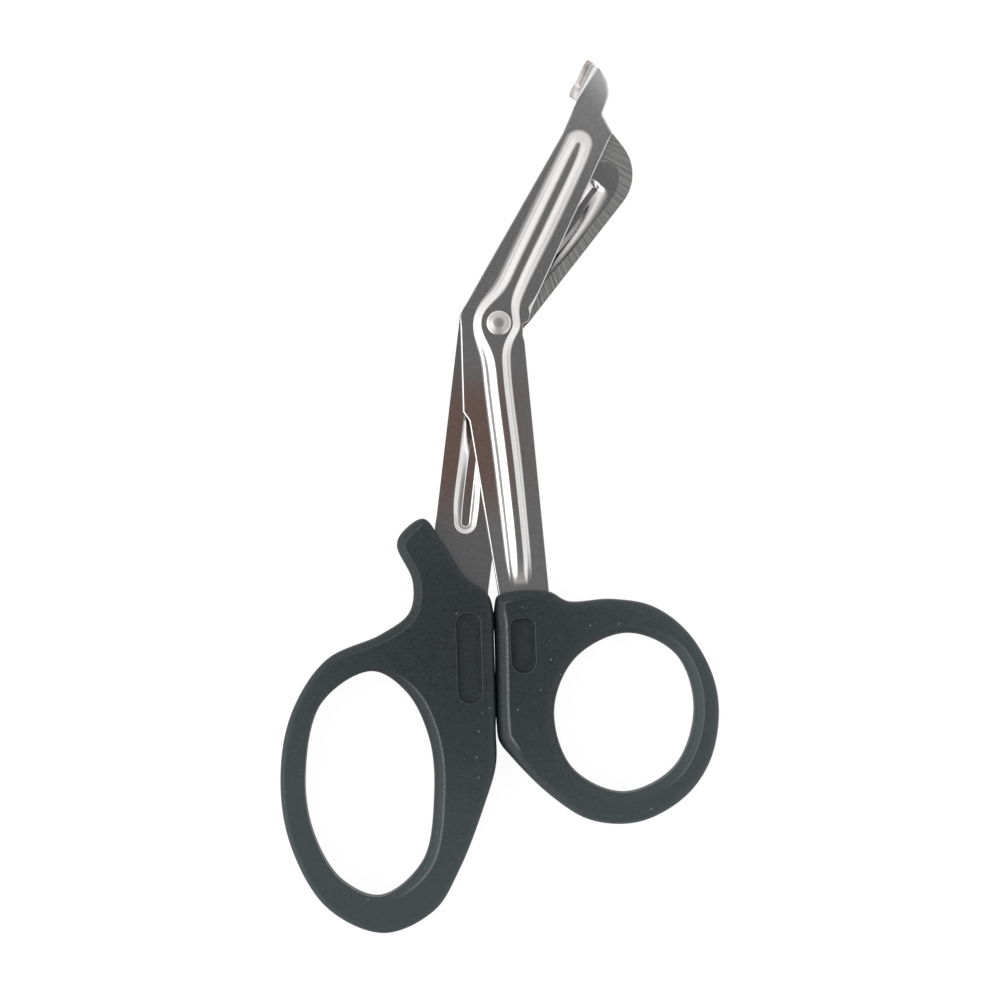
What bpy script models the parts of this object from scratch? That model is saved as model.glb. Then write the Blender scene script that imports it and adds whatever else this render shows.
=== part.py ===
"""Utility scissors, 140 mm long, closed and lying on their back.

Two blades stamped from stainless sheet cross on a riveted pivot. A ribbed bead stiffens each blade and
swells into a boss round the rivet. The front blade ends in a blunt folded shoe, and each blade's tang
goes into a handle that is moulded over it.

The pivot's axis is the world's Z axis, +Y runs from the pivot to the tips, and everything rests on z = 0.
Lengths in this file are millimetres, and each finished mesh is scaled to metres.
"""

import math

import bmesh
import bpy
from mathutils import Matrix, Vector

METRES = 0.001

# Driving dimensions
HANDLE_THICKNESS = 6.6
SHEET = 1.1
CLEARANCE = 0.3
BEAD_RISE = 0.7
BEAD_SLOPE = 1.75
SHANK_RADIUS = 1.3
HEAD_RADIUS = 1.95
HEAD_RISE = 1.0
TAIL_RADIUS = 1.9
TAIL_HEIGHT = 0.4
WASHER_RADIUS = 2.5
WASHER_THICKNESS = 0.35
BEVEL_WIDTH = 0.25
BEVEL_LAND = 0.15
GRIND_MARGIN = 0.4
GRIND_BEFORE_HEEL = 2.2
GRIND_PAST_POINT = 1.0

# Levels through the thickness, worked out from the middle plane between the blades
MIDDLE = HANDLE_THICKNESS / 2
THUMB_BACK = MIDDLE + CLEARANCE / 2
THUMB_FACE = THUMB_BACK + SHEET
FINGER_FACE = MIDDLE - CLEARANCE / 2
FINGER_BACK = FINGER_FACE - SHEET
FRONT_BOSS = THUMB_FACE + BEAD_RISE
REAR_BOSS = FINGER_BACK - BEAD_RISE
WASHER_TOP = REAR_BOSS - CLEARANCE
HOLE_RADIUS = SHANK_RADIUS + CLEARANCE

# Thumb blade: corners (x, y, radius of the rounding), clockwise from the lower end of the shoe's fold
FOLD_LOW = (12.45, 35.45, 0)
FOLD_HIGH = (16.1, 40.75, 0)
THUMB_HEEL = (5.25, 2.35)
THUMB_POINT = (18.15, 30.5)
THUMB_BLADE = [
    FOLD_LOW,
    FOLD_HIGH,
    (17.35, 38.9, 3.0),
    (17.65, 36.5, 3.0),
    (16.5, 33.5, 0.8),
    (*THUMB_POINT, 0.15),
    (*THUMB_HEEL, 0.2),
    (4.75, 0.35, 0.3),
    (3.85, -0.05, 0.3),
    (3.85, -1.9, 0.8),
    (4.15, -3.1, 1.5),
    (8.3, -45.5, 1.0),
    (6.7, -58.5, 1.2),
    (3.0, -58.5, 1.2),
    (0.75, -45.0, 1.0),
    (-4.45, -15.65, 0.7),
    (-5.5, -14.2, 0.4),
    (-6.05, 1.5, 3.5),
    (10.2, 30.4, 9.0),
    (12.0, 34.6, 0.6),
]
THUMB_BEAD = [(12.75, 28.6), (7.4, 17.3), (2.5, 6.9), (-0.3, 0.0), (0.15, -8.0), (1.9, -22.5), (3.7, -39.6)]
THUMB_BEAD_HALF = 2.35

# Finger blade: corners clockwise from the heel of its cutting edge
FINGER_HEEL = (-6.25, 1.5)
FINGER_POINT = (18.15, 30.6)
FINGER_BLADE = [
    (*FINGER_HEEL, 0.8),
    (*FINGER_POINT, 0.2),
    (23.2, 24.05, 7.2),
    (4.7, 0.35, 0.5),
    (3.85, -0.9, 1.0),
    (-1.65, -42.6, 1.0),
    (-3.0, -58.5, 1.2),
    (-8.3, -58.5, 1.2),
    (-11.2, -41.0, 1.0),
]
FINGER_BEAD = [(15.15, 20.8), (9.6, 13.6), (3.4, 6.1), (-0.3, 0.0), (-2.3, -7.0), (-4.3, -22.0), (-5.3, -31.3)]
FINGER_BEAD_HALF = 2.4

# Section of a bead's slope as shares (across, up), and the boss that it swells to round the pivot
BEAD_SECTION = [(0.0, 0.0), (0.2, 0.1), (0.5, 0.5), (0.8, 0.9), (1.0, 1.0)]
BOSS_HALF = 3.95
BOSS_SPREAD = 3.4

# Shoe: the sheet folded up along the thumb blade's back
SHOE_ANGLE = math.radians(62)
SHOE_BEND_RADIUS = 0.75
SHOE_BEND_STEPS = 5
SHOE_COLUMNS = 12
SHOE_WIDTH = 2.25
SHOE_CORNER = 1.6

# Edge roundings of the handles
FINGER_RIM = 0.8
FINGER_CONTACT_RIM = 1.1
FINGER_NECK_RIM = 1.35
FINGER_FRONT_RIM = 0.5
FINGER_MOUTH = 0.65
FINGER_PULL_MOUTH = 1.7
THUMB_RIM = 1.3
THUMB_CONTACT_RIM = 2.1
THUMB_MOUTH = 1.3

# Finger handle: points of its outline, clockwise from the upper end of its contact side
FINGER_OUTLINE = [
    (-1.2, -44.7), (-0.95, -51.0), (-0.6, -64.0), (-0.45, -70.5), (-2.1, -76.5), (-6.3, -87.4),
    (-10.3, -93.9), (-18.4, -97.5), (-27.4, -93.5), (-33.2, -83.7), (-34.9, -73.0), (-33.15, -62.4),
    (-27.6, -53.9), (-18.8, -49.8), (-14.3, -46.3), (-13.8, -41.3), (-16.3, -35.7), (-15.7, -33.8),
    (-12.1, -31.3), (-9.3, -34.7), (-5.2, -40.9), (-2.1, -43.0),
]
FINGER_HOLE = [
    (-20.3, -55.65), (-14.7, -59.1), (-11.1, -66.6), (-10.35, -75.5), (-12.2, -86.1), (-18.9, -91.65),
    (-25.2, -89.1), (-29.6, -81.8), (-31.0, -72.5), (-28.4, -60.8),
]
FINGER_RECESS = {"top": (-4.95, -46.4), "bottom": (-4.5, -60.8), "width": 3.9, "depth": 0.7, "corner": 1.8}

# Thumb handle: points of its outline, clockwise from the upper end of its contact side
THUMB_OUTLINE = [
    (-0.65, -45.0), (-0.35, -43.8), (0.8, -43.15), (8.0, -42.95), (11.0, -44.5), (18.1, -44.15), (24.6, -45.3),
    (30.1, -49.3), (34.1, -56.0), (35.2, -62.5), (33.7, -70.2), (29.6, -75.9), (22.4, -79.75),
    (14.7, -79.45), (8.3, -75.55), (1.5, -68.8), (0.05, -66.8), (-0.25, -63.5),
    (-0.5, -51.0),
]
THUMB_HOLE = [
    (20.4, -49.55), (28.3, -52.9), (31.25, -61.5), (28.2, -70.9), (20.0, -75.05), (11.8, -71.2),
    (8.85, -62.0), (12.2, -53.6),
]
THUMB_RECESS = {"top": (3.75, -47.2), "bottom": (4.05, -55.95), "width": 3.9, "depth": 1.0, "corner": 1.2}


def filleted(corners, spacing=0.8):
    """Points of a closed outline whose corners (x, y, radius) are rounded by arcs."""
    points = []
    for index, (x, y, radius) in enumerate(corners):
        corner = Vector((x, y))
        if radius == 0:
            points.append(corner)
            continue
        arrive = (Vector(corners[index - 1][:2]) - corner).normalized()
        leave = (Vector(corners[(index + 1) % len(corners)][:2]) - corner).normalized()
        half = arrive.angle(leave) / 2
        centre = corner + (arrive + leave).normalized() * (radius / math.sin(half))
        start = corner + arrive * (radius / math.tan(half)) - centre
        sweep = math.pi - 2 * half
        turn = -1 if arrive.cross(leave) > 0 else 1
        steps = max(2, math.ceil(sweep / math.radians(20)), math.ceil(radius * sweep / spacing))
        for step in range(steps + 1):
            points.append(centre + Matrix.Rotation(turn * sweep * step / steps, 2) @ start)
    return points


def through(points, spacing, closed):
    """A smooth line (centripetal Catmull-Rom) through points; spacing is a length or a function of the place."""
    knots = [Vector(point) for point in points]
    if closed:
        knots = [knots[-1], *knots, knots[0], knots[1]]
    else:
        knots = [2 * knots[0] - knots[1], *knots, 2 * knots[-1] - knots[-2]]
    line = []
    for before, start, end, after in zip(knots, knots[1:], knots[2:], knots[3:]):
        first = (start - before).length ** 0.5
        span = (end - start).length ** 0.5
        last = (after - end).length ** 0.5
        leave = (start - before) / first - (end - before) / (first + span) + (end - start) / span
        arrive = (end - start) / span - (after - start) / (span + last) + (after - end) / last
        gap = spacing((start + end) / 2) if callable(spacing) else spacing
        steps = max(1, round((end - start).length / gap))
        for step in range(steps):
            t = step / steps
            line.append(
                start * (2 * t**3 - 3 * t**2 + 1)
                + leave * span * (t**3 - 2 * t**2 + t)
                + end * (3 * t**2 - 2 * t**3)
                + arrive * span * (t**3 - t**2)
            )
    if not closed:
        line.append(knots[-2])
    return line


def signed_area(points):
    return sum(a.cross(b) for a, b in zip(points, points[1:] + points[:1])) / 2


def grown(points, amount):
    """A closed outline moved outwards by amount, a length or a function of the place; negative moves it in."""
    outward = -1 if signed_area(points) > 0 else 1
    moved = []
    for index, point in enumerate(points):
        along = (points[(index + 1) % len(points)] - points[index - 1]).normalized()
        normal = Vector((-along.y, along.x)) * outward
        moved.append(point + normal * (amount(point) if callable(amount) else amount))
    return moved


def bead_loop(line, half, inset):
    """The closed loop round a centre line at half - inset, swelling to the boss round the pivot."""
    sides = {1: [], -1: []}
    reach = []
    for index, point in enumerate(line):
        along = (line[min(index + 1, len(line) - 1)] - line[max(index - 1, 0)]).normalized()
        swell = (BOSS_HALF - half) * math.exp(-((point.length / BOSS_SPREAD) ** 2))
        reach.append((point, along, half + swell - inset))
        for side, row in sides.items():
            row.append(point + Vector((-along.y, along.x)) * side * (half + swell - inset))
    loop = []
    for side, order in ((1, 1), (-1, -1)):
        loop += sides[side][::order]
        point, along, radius = reach[-1 if side == 1 else 0]
        outward = along * side
        for step in range(1, 8):
            angle = math.pi * step / 8
            across = Vector((-outward.y, outward.x))
            loop.append(point + (across * math.cos(angle) + outward * math.sin(angle)) * radius)
    return loop


def add_loop(bm, points, z):
    verts = [bm.verts.new((point.x, point.y, z)) for point in points]
    return [bm.edges.new((a, b)) for a, b in zip(verts, verts[1:] + verts[:1])]


def material(name, colour, roughness, metallic):
    made = bpy.data.materials.new(name)
    made.use_nodes = True
    shader = made.node_tree.nodes["Principled BSDF"]
    shader.inputs["Base Color"].default_value = (*colour, 1)
    shader.inputs["Roughness"].default_value = roughness
    shader.inputs["Metallic"].default_value = metallic
    return made


def finish(name, bm, look=None, cutter=False):
    """Turns a bmesh in millimetres into an object in metres, smooth where its faces meet gently."""
    bmesh.ops.scale(bm, vec=(METRES, METRES, METRES), verts=bm.verts)
    mesh = bpy.data.meshes.new(name)
    bm.to_mesh(mesh)
    bm.free()
    mesh.shade_smooth()
    mesh.set_sharp_from_angle(angle=math.radians(35))
    part = bpy.data.objects.new(name, mesh)
    bpy.context.scene.collection.objects.link(part)
    if look:
        mesh.materials.append(look)
    if cutter:
        part.hide_render = True
        part.display_type = "WIRE"
    return part


def cut(part, cutter):
    boolean = part.modifiers.new(cutter.name, "BOOLEAN")
    boolean.operation = "DIFFERENCE"
    boolean.solver = "EXACT"
    boolean.object = cutter


def lofted(name, levels, look=None, cutter=False):
    """A solid through closed outlines of equal point counts, given as (z, points) from the bottom up."""
    bm = bmesh.new()
    rings = [add_loop(bm, points, z) for z, points in levels]
    for low, high in zip(rings, rings[1:]):
        bmesh.ops.bridge_loops(bm, edges=low + high)
    for ring in (rings[0], rings[-1]):
        bmesh.ops.contextual_create(bm, geom=ring)
    bmesh.ops.recalc_face_normals(bm, faces=bm.faces)
    return finish(name, bm, look, cutter)


def rounded_levels(points, rounding, low, high, outwards, steps=4):
    """Levels of a prism whose rims are quarter rounds, narrowing it, or flaring it if outwards."""
    levels = []
    sign = 1 if outwards else -1
    for step in range(steps + 1):
        angle = math.pi / 2 * step / steps
        inset = sign * (1 - math.sin(angle))
        rise = 1 - math.cos(angle)
        levels.append((rise, grown(points, lambda p, inset=inset: inset * rounding(p))))
    depth = max(rounding(p) for p in points)
    lower = [(low + rise * depth, ring) for rise, ring in levels]
    upper = [(high - rise * depth, ring) for rise, ring in reversed(levels)]
    return lower + upper


def bead_spacing(place):
    """Close points round the boss, and wider ones along the straight stretches."""
    return 0.8 if place.length < 7 else 2.4


def stamped_blade(corners, bead, half, face, lift):
    """The front surface of a stamped blade, to which Solidify gives the sheet's thickness downwards."""
    bm = bmesh.new()
    rim = add_loop(bm, filleted(corners), face)
    line = through(bead, bead_spacing, closed=False)
    rings = [
        add_loop(bm, bead_loop(line, half, across * BEAD_SLOPE), face + lift * up)
        for across, up in BEAD_SECTION
    ]
    hole = [Matrix.Rotation(math.tau * step / 32, 2) @ Vector((HOLE_RADIUS, 0)) for step in range(32)]
    bore = add_loop(bm, hole, face + lift)
    for low, high in zip(rings, rings[1:]):
        bmesh.ops.bridge_loops(bm, edges=low + high)
    bmesh.ops.triangle_fill(bm, edges=rim + rings[0], use_beauty=True, normal=(0, 0, 1))
    bmesh.ops.triangle_fill(bm, edges=rings[-1] + bore, use_beauty=True, normal=(0, 0, 1))
    bmesh.ops.recalc_face_normals(bm, faces=bm.faces)
    if sum(face.normal.z for face in bm.faces) < 0:
        bmesh.ops.reverse_faces(bm, faces=bm.faces)
    return bm, rim


def fold_shoe(bm, rim, face):
    """Bends a flange up from the rim's first edge, and rounds its two free corners."""
    low = Vector((*FOLD_LOW[:2], face))
    high = Vector((*FOLD_HIGH[:2], face))
    along = (high - low).normalized()
    outward = Vector((-along.y, along.x, 0))
    bmesh.ops.subdivide_edges(bm, edges=[rim[0]], cuts=SHOE_COLUMNS - 1)
    edges = [
        edge
        for edge in bm.edges
        if edge.is_boundary and all(abs((vert.co - low).dot(outward)) < 0.001 for vert in edge.verts)
    ]
    bend_centre = low + Vector((0, 0, SHOE_BEND_RADIUS))
    for _ in range(SHOE_BEND_STEPS):
        verts, edges = pull_out(bm, edges)
        turn = Matrix.Rotation(SHOE_ANGLE / SHOE_BEND_STEPS, 3, along)
        bmesh.ops.rotate(bm, cent=bend_centre, matrix=turn, verts=verts)
    rise = outward * math.cos(SHOE_ANGLE) + Vector((0, 0, math.sin(SHOE_ANGLE)))
    for width, rounded in ((SHOE_WIDTH - SHOE_CORNER, False), (SHOE_CORNER, True)):
        verts, edges = pull_out(bm, edges)
        for vert in verts:
            place = abs(2 * (vert.co - low).dot(along) / (high - low).length - 1)
            share = (1 - (0.98 * place) ** 3) ** (1 / 3) if rounded else 1
            vert.co += rise * width * share


def pull_out(bm, edges):
    """Extrudes a row of edges in place; gives the new row's vertices and edges."""
    made = bmesh.ops.extrude_edge_only(bm, edges=edges)["geom"]
    verts = [item for item in made if isinstance(item, bmesh.types.BMVert)]
    row = set(verts)
    return verts, [item for item in made if isinstance(item, bmesh.types.BMEdge) and row.issuperset(item.verts)]


def edge_grinder(name, heel, point, low, high, over):
    """A long wedge that grinds the cutting edge between heel and point, leaving a thin land at low."""
    start = Vector((*heel, 0))
    end = Vector((*point, 0))
    along = (end - start).normalized()
    outward = Vector((along.y, -along.x, 0)) * over
    slope = BEVEL_WIDTH / (abs(high - low) - BEVEL_LAND)
    up = 1 if high > low else -1
    land = low + up * BEVEL_LAND
    tall = abs(high - land) + GRIND_MARGIN
    section = [
        (outward * slope * GRIND_MARGIN, land - up * GRIND_MARGIN),
        (-outward * slope * tall, land + up * tall),
        (outward * 2, land + up * tall),
        (outward * 2, land - up * GRIND_MARGIN),
    ]
    bm = bmesh.new()
    corner = start - along * GRIND_BEFORE_HEEL
    verts = [bm.verts.new(corner + place + Vector((0, 0, z))) for place, z in section]
    wedge = bm.faces.new(verts)
    swept = bmesh.ops.extrude_face_region(bm, geom=[wedge])["geom"]
    far = [item for item in swept if isinstance(item, bmesh.types.BMVert)]
    length = GRIND_BEFORE_HEEL + (end - start).length + GRIND_PAST_POINT
    bmesh.ops.translate(bm, verts=far, vec=along * length)
    bmesh.ops.recalc_face_normals(bm, faces=bm.faces)
    return finish(name, bm, cutter=True)


def turned(name, profile, look, steps=40):
    """A solid of revolution about the pivot from a closed (radius, z) profile, listed from the axis up."""
    bm = bmesh.new()
    verts = [bm.verts.new((radius, 0, z)) for radius, z in profile]
    edges = [bm.edges.new(pair) for pair in zip(verts, verts[1:])]
    if profile[0][0] > 0:
        edges.append(bm.edges.new((verts[-1], verts[0])))
    bmesh.ops.spin(bm, geom=verts + edges, axis=(0, 0, 1), cent=(0, 0, 0), angle=math.tau, steps=steps, use_merge=True)
    bmesh.ops.remove_doubles(bm, verts=bm.verts, dist=0.001)
    bmesh.ops.recalc_face_normals(bm, faces=bm.faces)
    return finish(name, bm, look)


def pocket_for(name, corners, back):
    """A cutter a clearance larger than the blade all round, which leaves the tang's pocket in a handle."""
    outline = grown(filleted(corners), CLEARANCE)
    levels = [(back - CLEARANCE, outline), (back + SHEET + CLEARANCE, outline)]
    return lofted(name, levels, cutter=True)


def recess_cutter(name, recess):
    """A slot with rounded ends, sunk into the front face and slightly drafted."""
    top = Vector(recess["top"])
    bottom = Vector(recess["bottom"])
    along = (bottom - top).normalized()
    across = Vector((-along.y, along.x)) * recess["width"] / 2
    corner = recess["corner"]
    foot = recess["width"] / 2 - 0.05
    corners = [
        (*(top - across), corner),
        (*(bottom - across), foot),
        (*(bottom + across), foot),
        (*(top + across), corner),
    ]
    outline = filleted(corners)
    floor = HANDLE_THICKNESS - recess["depth"]
    return lofted(name, [(floor, grown(outline, -0.2)), (HANDLE_THICKNESS + 0.5, grown(outline, 0.15))], cutter=True)


def blend(low, high, share):
    """low below a share of 0, high above 1, and a smooth step between them."""
    share = min(1, max(0, share))
    return low + (high - low) * share * share * (3 - 2 * share)


def finger_rim(place):
    """The rounding of the finger handle's outer rim: wide on its contact side and left of the neck, and
    nearly square where the neck's front edge crosses the blade."""
    upper = blend(0, 1, (place.y + 56) / 8)
    left = blend(0, 1, (-11 - place.x) / 3)
    right = blend(0, 1, (place.x + 4) / 3)
    neck = upper * left
    front = upper * (1 - left) * (1 - right)
    return (
        FINGER_RIM
        + (FINGER_CONTACT_RIM - FINGER_RIM) * right
        + (FINGER_NECK_RIM - FINGER_RIM) * neck
        + (FINGER_FRONT_RIM - FINGER_RIM) * front
    )


def finger_mouth(place):
    """The rounding of the finger hole, wide where the fingers pull on its inner side."""
    return blend(FINGER_MOUTH, FINGER_PULL_MOUTH, (place.x + 21) / 9)


def thumb_rim(place):
    """The rounding of the thumb handle's outer rim, widest along its contact side."""
    return blend(THUMB_CONTACT_RIM, THUMB_RIM, (place.x - 0.4) / 4)


def moulded_handle(name, outline, hole, rim_rounding, hole_rounding, look):
    body_line = through(outline, 1.1, closed=True)
    hole_line = through(hole, 1.4, closed=True)
    handle = lofted(name, rounded_levels(body_line, rim_rounding, 0, HANDLE_THICKNESS, False), look)
    levels = rounded_levels(hole_line, hole_rounding, 0, HANDLE_THICKNESS, True)
    ends = [(-1.0, levels[0][1]), *levels, (HANDLE_THICKNESS + 1.0, levels[-1][1])]
    cut(handle, lofted(name + "_hole", ends, cutter=True))
    return handle


def build():
    for old in list(bpy.data.objects):
        bpy.data.objects.remove(old, do_unlink=True)
    steel = material("stainless_steel", (0.55, 0.54, 0.55), 0.28, 1.0)
    bright_steel = material("bright_rivet_steel", (0.62, 0.61, 0.6), 0.22, 1.0)
    plastic = material("black_nylon", (0.022, 0.026, 0.027), 0.62, 0.0)

    bm, rim = stamped_blade(THUMB_BLADE, THUMB_BEAD, THUMB_BEAD_HALF, THUMB_FACE, BEAD_RISE)
    fold_shoe(bm, rim, THUMB_FACE)
    thumb_blade = finish("thumb_blade", bm, steel)
    bm, _ = stamped_blade(FINGER_BLADE, FINGER_BEAD, FINGER_BEAD_HALF, FINGER_FACE, -BEAD_RISE)
    finger_blade = finish("finger_blade", bm, steel)
    for blade in (thumb_blade, finger_blade):
        sheet = blade.modifiers.new("sheet", "SOLIDIFY")
        sheet.thickness = SHEET * METRES
        sheet.offset = -1
        sheet.use_even_offset = True
    cut(thumb_blade, edge_grinder("thumb_edge", THUMB_HEEL, THUMB_POINT, THUMB_BACK, THUMB_FACE, 1))
    cut(finger_blade, edge_grinder("finger_edge", FINGER_HEEL, FINGER_POINT, FINGER_FACE, FINGER_BACK, -1))

    dome = [
        (HEAD_RADIUS * math.cos(angle), FRONT_BOSS + CLEARANCE + 0.3 + (HEAD_RISE - 0.3) * math.sin(angle))
        for angle in (math.pi / 2 * step / 6 for step in range(7))
    ]
    rivet = [(0, 0), (TAIL_RADIUS - 0.15, 0), (TAIL_RADIUS, 0.15), (TAIL_RADIUS, TAIL_HEIGHT)]
    rivet += [(SHANK_RADIUS, TAIL_HEIGHT), (SHANK_RADIUS, FRONT_BOSS + CLEARANCE)]
    rivet += [(HEAD_RADIUS, FRONT_BOSS + CLEARANCE), *dome[:-1], (0, dome[-1][1])]
    turned("pivot_rivet", rivet, bright_steel)
    low = WASHER_TOP - WASHER_THICKNESS
    ring = [(HOLE_RADIUS, low), (WASHER_RADIUS, low), (WASHER_RADIUS, WASHER_TOP), (HOLE_RADIUS, WASHER_TOP)]
    turned("pivot_washer", ring, bright_steel)

    finger_handle = moulded_handle(
        "finger_handle", FINGER_OUTLINE, FINGER_HOLE, finger_rim, finger_mouth, plastic
    )
    thumb_handle = moulded_handle(
        "thumb_handle", THUMB_OUTLINE, THUMB_HOLE, thumb_rim, lambda place: THUMB_MOUTH, plastic
    )
    cut(finger_handle, pocket_for("finger_pocket", FINGER_BLADE, FINGER_BACK))
    cut(thumb_handle, pocket_for("thumb_pocket", THUMB_BLADE, THUMB_BACK))
    cut(finger_handle, recess_cutter("finger_recess", FINGER_RECESS))
    cut(thumb_handle, recess_cutter("thumb_recess", THUMB_RECESS))

    swing = bpy.data.objects.new("pivot_axis", None)
    bpy.context.scene.collection.objects.link(swing)
    thumb_blade.parent = swing
    thumb_handle.parent = swing


build()
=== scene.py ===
# %% [markdown]
# # Utility scissors, dressed for a close look
#
# These are light-duty bandage scissors: two blades stamped from stainless sheet, a rivet, and two nylon
# handles that were moulded round the blades' tangs. The construction model gives every piece its place and
# size, but its surfaces are coarse. This lesson rebuilds each visible surface finely around that frame and
# gives it the finish that the real one has.
#
# The order is: frame, camera, studio, tools for outlines and meshes, finishes, blades, rivet, handles.

# %% Load the frame
import math

import bmesh
import bpy
from mathutils import Matrix, Vector


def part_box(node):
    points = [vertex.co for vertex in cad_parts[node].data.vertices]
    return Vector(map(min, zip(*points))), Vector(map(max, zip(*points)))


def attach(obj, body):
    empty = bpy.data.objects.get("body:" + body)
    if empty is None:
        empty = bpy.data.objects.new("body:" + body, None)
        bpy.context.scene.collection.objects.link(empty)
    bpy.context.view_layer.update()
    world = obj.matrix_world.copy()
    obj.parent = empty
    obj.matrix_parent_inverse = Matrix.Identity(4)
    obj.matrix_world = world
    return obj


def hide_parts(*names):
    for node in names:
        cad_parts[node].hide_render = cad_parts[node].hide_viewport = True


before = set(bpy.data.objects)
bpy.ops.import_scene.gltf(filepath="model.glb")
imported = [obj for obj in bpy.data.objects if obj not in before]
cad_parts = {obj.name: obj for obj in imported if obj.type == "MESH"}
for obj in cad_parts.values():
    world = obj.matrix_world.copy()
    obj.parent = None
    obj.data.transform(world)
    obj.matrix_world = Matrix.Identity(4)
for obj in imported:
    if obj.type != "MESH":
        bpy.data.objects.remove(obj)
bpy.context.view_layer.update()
METRES = 0.001

# %% [markdown]
# ## The camera
#
# The scissors were photographed from straight above, as flat goods are for a catalogue. A real copy stand
# has its camera high up, so that the sides of a thick piece don't lean outwards. A long lens from 0.9 m does
# the same, and its focal length follows from the width of what it has to see.

# %% Set up the camera
VIEW_WIDTH = 160.0
VIEW_CENTRE = (0.19, -28.3)
CAMERA_HEIGHT = 900.0
SHARP_LEVEL = 4.5
SENSOR = 36.0

camera_data = bpy.data.cameras.new("copy_stand_camera")
camera_data.sensor_width = SENSOR
camera_data.lens = SENSOR * (CAMERA_HEIGHT - SHARP_LEVEL) / VIEW_WIDTH
camera = bpy.data.objects.new("copy_stand_camera", camera_data)
camera.location = (VIEW_CENTRE[0] * METRES, VIEW_CENTRE[1] * METRES, CAMERA_HEIGHT * METRES)
bpy.context.scene.collection.objects.link(camera)
bpy.context.scene.camera = camera
bpy.context.scene.view_settings.view_transform = "Standard"
print("lens in mm:", round(camera_data.lens, 1))

# %% [markdown]
# ## A helper for node materials
#
# Every material below is a small graph of nodes. Writing `nodes.new`, then the settings, then the links for
# each node hides the idea behind the typing, so one function does all three. An input that is given a node
# takes the first of its outputs that is in use. Colours are written as the sRGB hex values that a paint
# program shows, and one function turns them into the linear light that Blender uses.


# %% Define the node and colour helpers
def add_node(tree, kind, settings=None, inputs=None):
    """One shader node: settings are its properties, and inputs are constants, or nodes or sockets to link."""
    node = tree.nodes.new("ShaderNode" + kind)
    for name, value in (settings or {}).items():
        setattr(node, name, value)
    for name, value in (inputs or {}).items():
        if isinstance(value, bpy.types.Node):
            value = next(socket for socket in value.outputs if socket.enabled)
        if isinstance(value, bpy.types.NodeSocket):
            tree.links.new(value, node.inputs[name])
        else:
            node.inputs[name].default_value = value
    return node


def linear(hex_colour):
    """The linear RGBA of an sRGB hex colour."""
    channels = []
    for place in (0, 2, 4):
        value = int(hex_colour[place : place + 2], 16) / 255
        channels.append(value / 12.92 if value <= 0.04045 else ((value + 0.055) / 1.055) ** 2.4)
    return (*channels, 1.0)


SMOOTH = {"interpolation_type": "SMOOTHSTEP"}
TIMES = {"operation": "MULTIPLY"}
COLOURS = {"data_type": "RGBA"}
print("mid grey 808080 is", round(linear("808080")[0], 3), "in linear light")

# %% [markdown]
# ## The light tent
#
# Polished steel has no colour of its own: it shows the room. The catalogue shot was taken inside a light
# tent, bright on every side, with a darker opening overhead for the camera. Flat steel that faces the camera
# mirrors that opening and turns dark grey, and the steeper a slope is, the further down the bright wall it
# looks. So the world's brightness is written as a function of the angle from straight up. It is brightest
# at the lower left, where the lamp stands behind the cloth. The photographer stands at the handles and covers
# a part of the wall, which is why slopes that face the handles stay dark. Below the table's level the room is
# dimmer, which only shows when the scissors are turned over.

# %% Build the light tent
TENT_WALL = 1.45
TENT_OPENING = 0.17
OPENING_EDGE = math.radians(8)
WALL_START = math.radians(50)
BRIGHT_SIDE = (-0.45, -0.89, 0.0)
SIDE_CONTRAST = 0.3
GAP_SIDE = (0.0, -1.0, 0.0)
GAP_EDGE = 0.88
GAP_CORE = 0.97
GAP_LIGHT = 0.1
GAP_TOP = math.radians(24)
GAP_FULL = math.radians(34)
FLOOR_LEVEL = math.radians(95)
FLOOR_LIGHT = 0.25

world = bpy.data.worlds.new("light_tent")
bpy.context.scene.world = world
world.use_nodes = True
tent = world.node_tree
tent.nodes.clear()
direction = add_node(tent, "TexCoord").outputs["Generated"]
parts = add_node(tent, "SeparateXYZ", inputs={"Vector": direction}).outputs
polar_angle = add_node(tent, "Math", {"operation": "ARCCOSINE"}, {0: parts["Z"]})
wall_limits = {"From Min": OPENING_EDGE, "From Max": WALL_START, "To Min": TENT_OPENING, "To Max": TENT_WALL}
wall = add_node(tent, "MapRange", SMOOTH, {"Value": polar_angle, **wall_limits})
to_lamp = add_node(tent, "VectorMath", {"operation": "DOT_PRODUCT"}, {0: direction, 1: BRIGHT_SIDE})
lamp_side = add_node(tent, "Math", {"operation": "MULTIPLY_ADD"}, {0: to_lamp, 1: SIDE_CONTRAST, 2: 1.0})
level_direction = add_node(tent, "CombineXYZ", inputs={"X": parts["X"], "Y": parts["Y"]})
compass = add_node(tent, "VectorMath", {"operation": "NORMALIZE"}, {0: level_direction})
to_gap = add_node(tent, "VectorMath", {"operation": "DOT_PRODUCT"}, {0: compass, 1: GAP_SIDE})
gap_limits = {"From Min": GAP_EDGE, "From Max": GAP_CORE, "To Max": 1 - GAP_LIGHT}
gap = add_node(tent, "MapRange", SMOOTH, {"Value": to_gap, **gap_limits})
top_limits = {"From Min": GAP_TOP, "From Max": GAP_FULL}
below_top = add_node(tent, "MapRange", SMOOTH, {"Value": polar_angle, **top_limits})
covered = add_node(tent, "Math", TIMES, {0: gap, 1: below_top})
left_open = add_node(tent, "Math", {"operation": "SUBTRACT"}, {0: 1.0, 1: covered})
floor_limits = {"From Min": FLOOR_LEVEL, "From Max": math.pi, "To Min": 1.0, "To Max": FLOOR_LIGHT}
under_table = add_node(tent, "MapRange", inputs={"Value": polar_angle, **floor_limits})
brightness = wall
for share in (lamp_side, left_open, under_table):
    brightness = add_node(tent, "Math", TIMES, {0: brightness, 1: share})
tent_light = add_node(tent, "Background", inputs={"Color": linear("FFFEFD"), "Strength": brightness})
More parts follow.
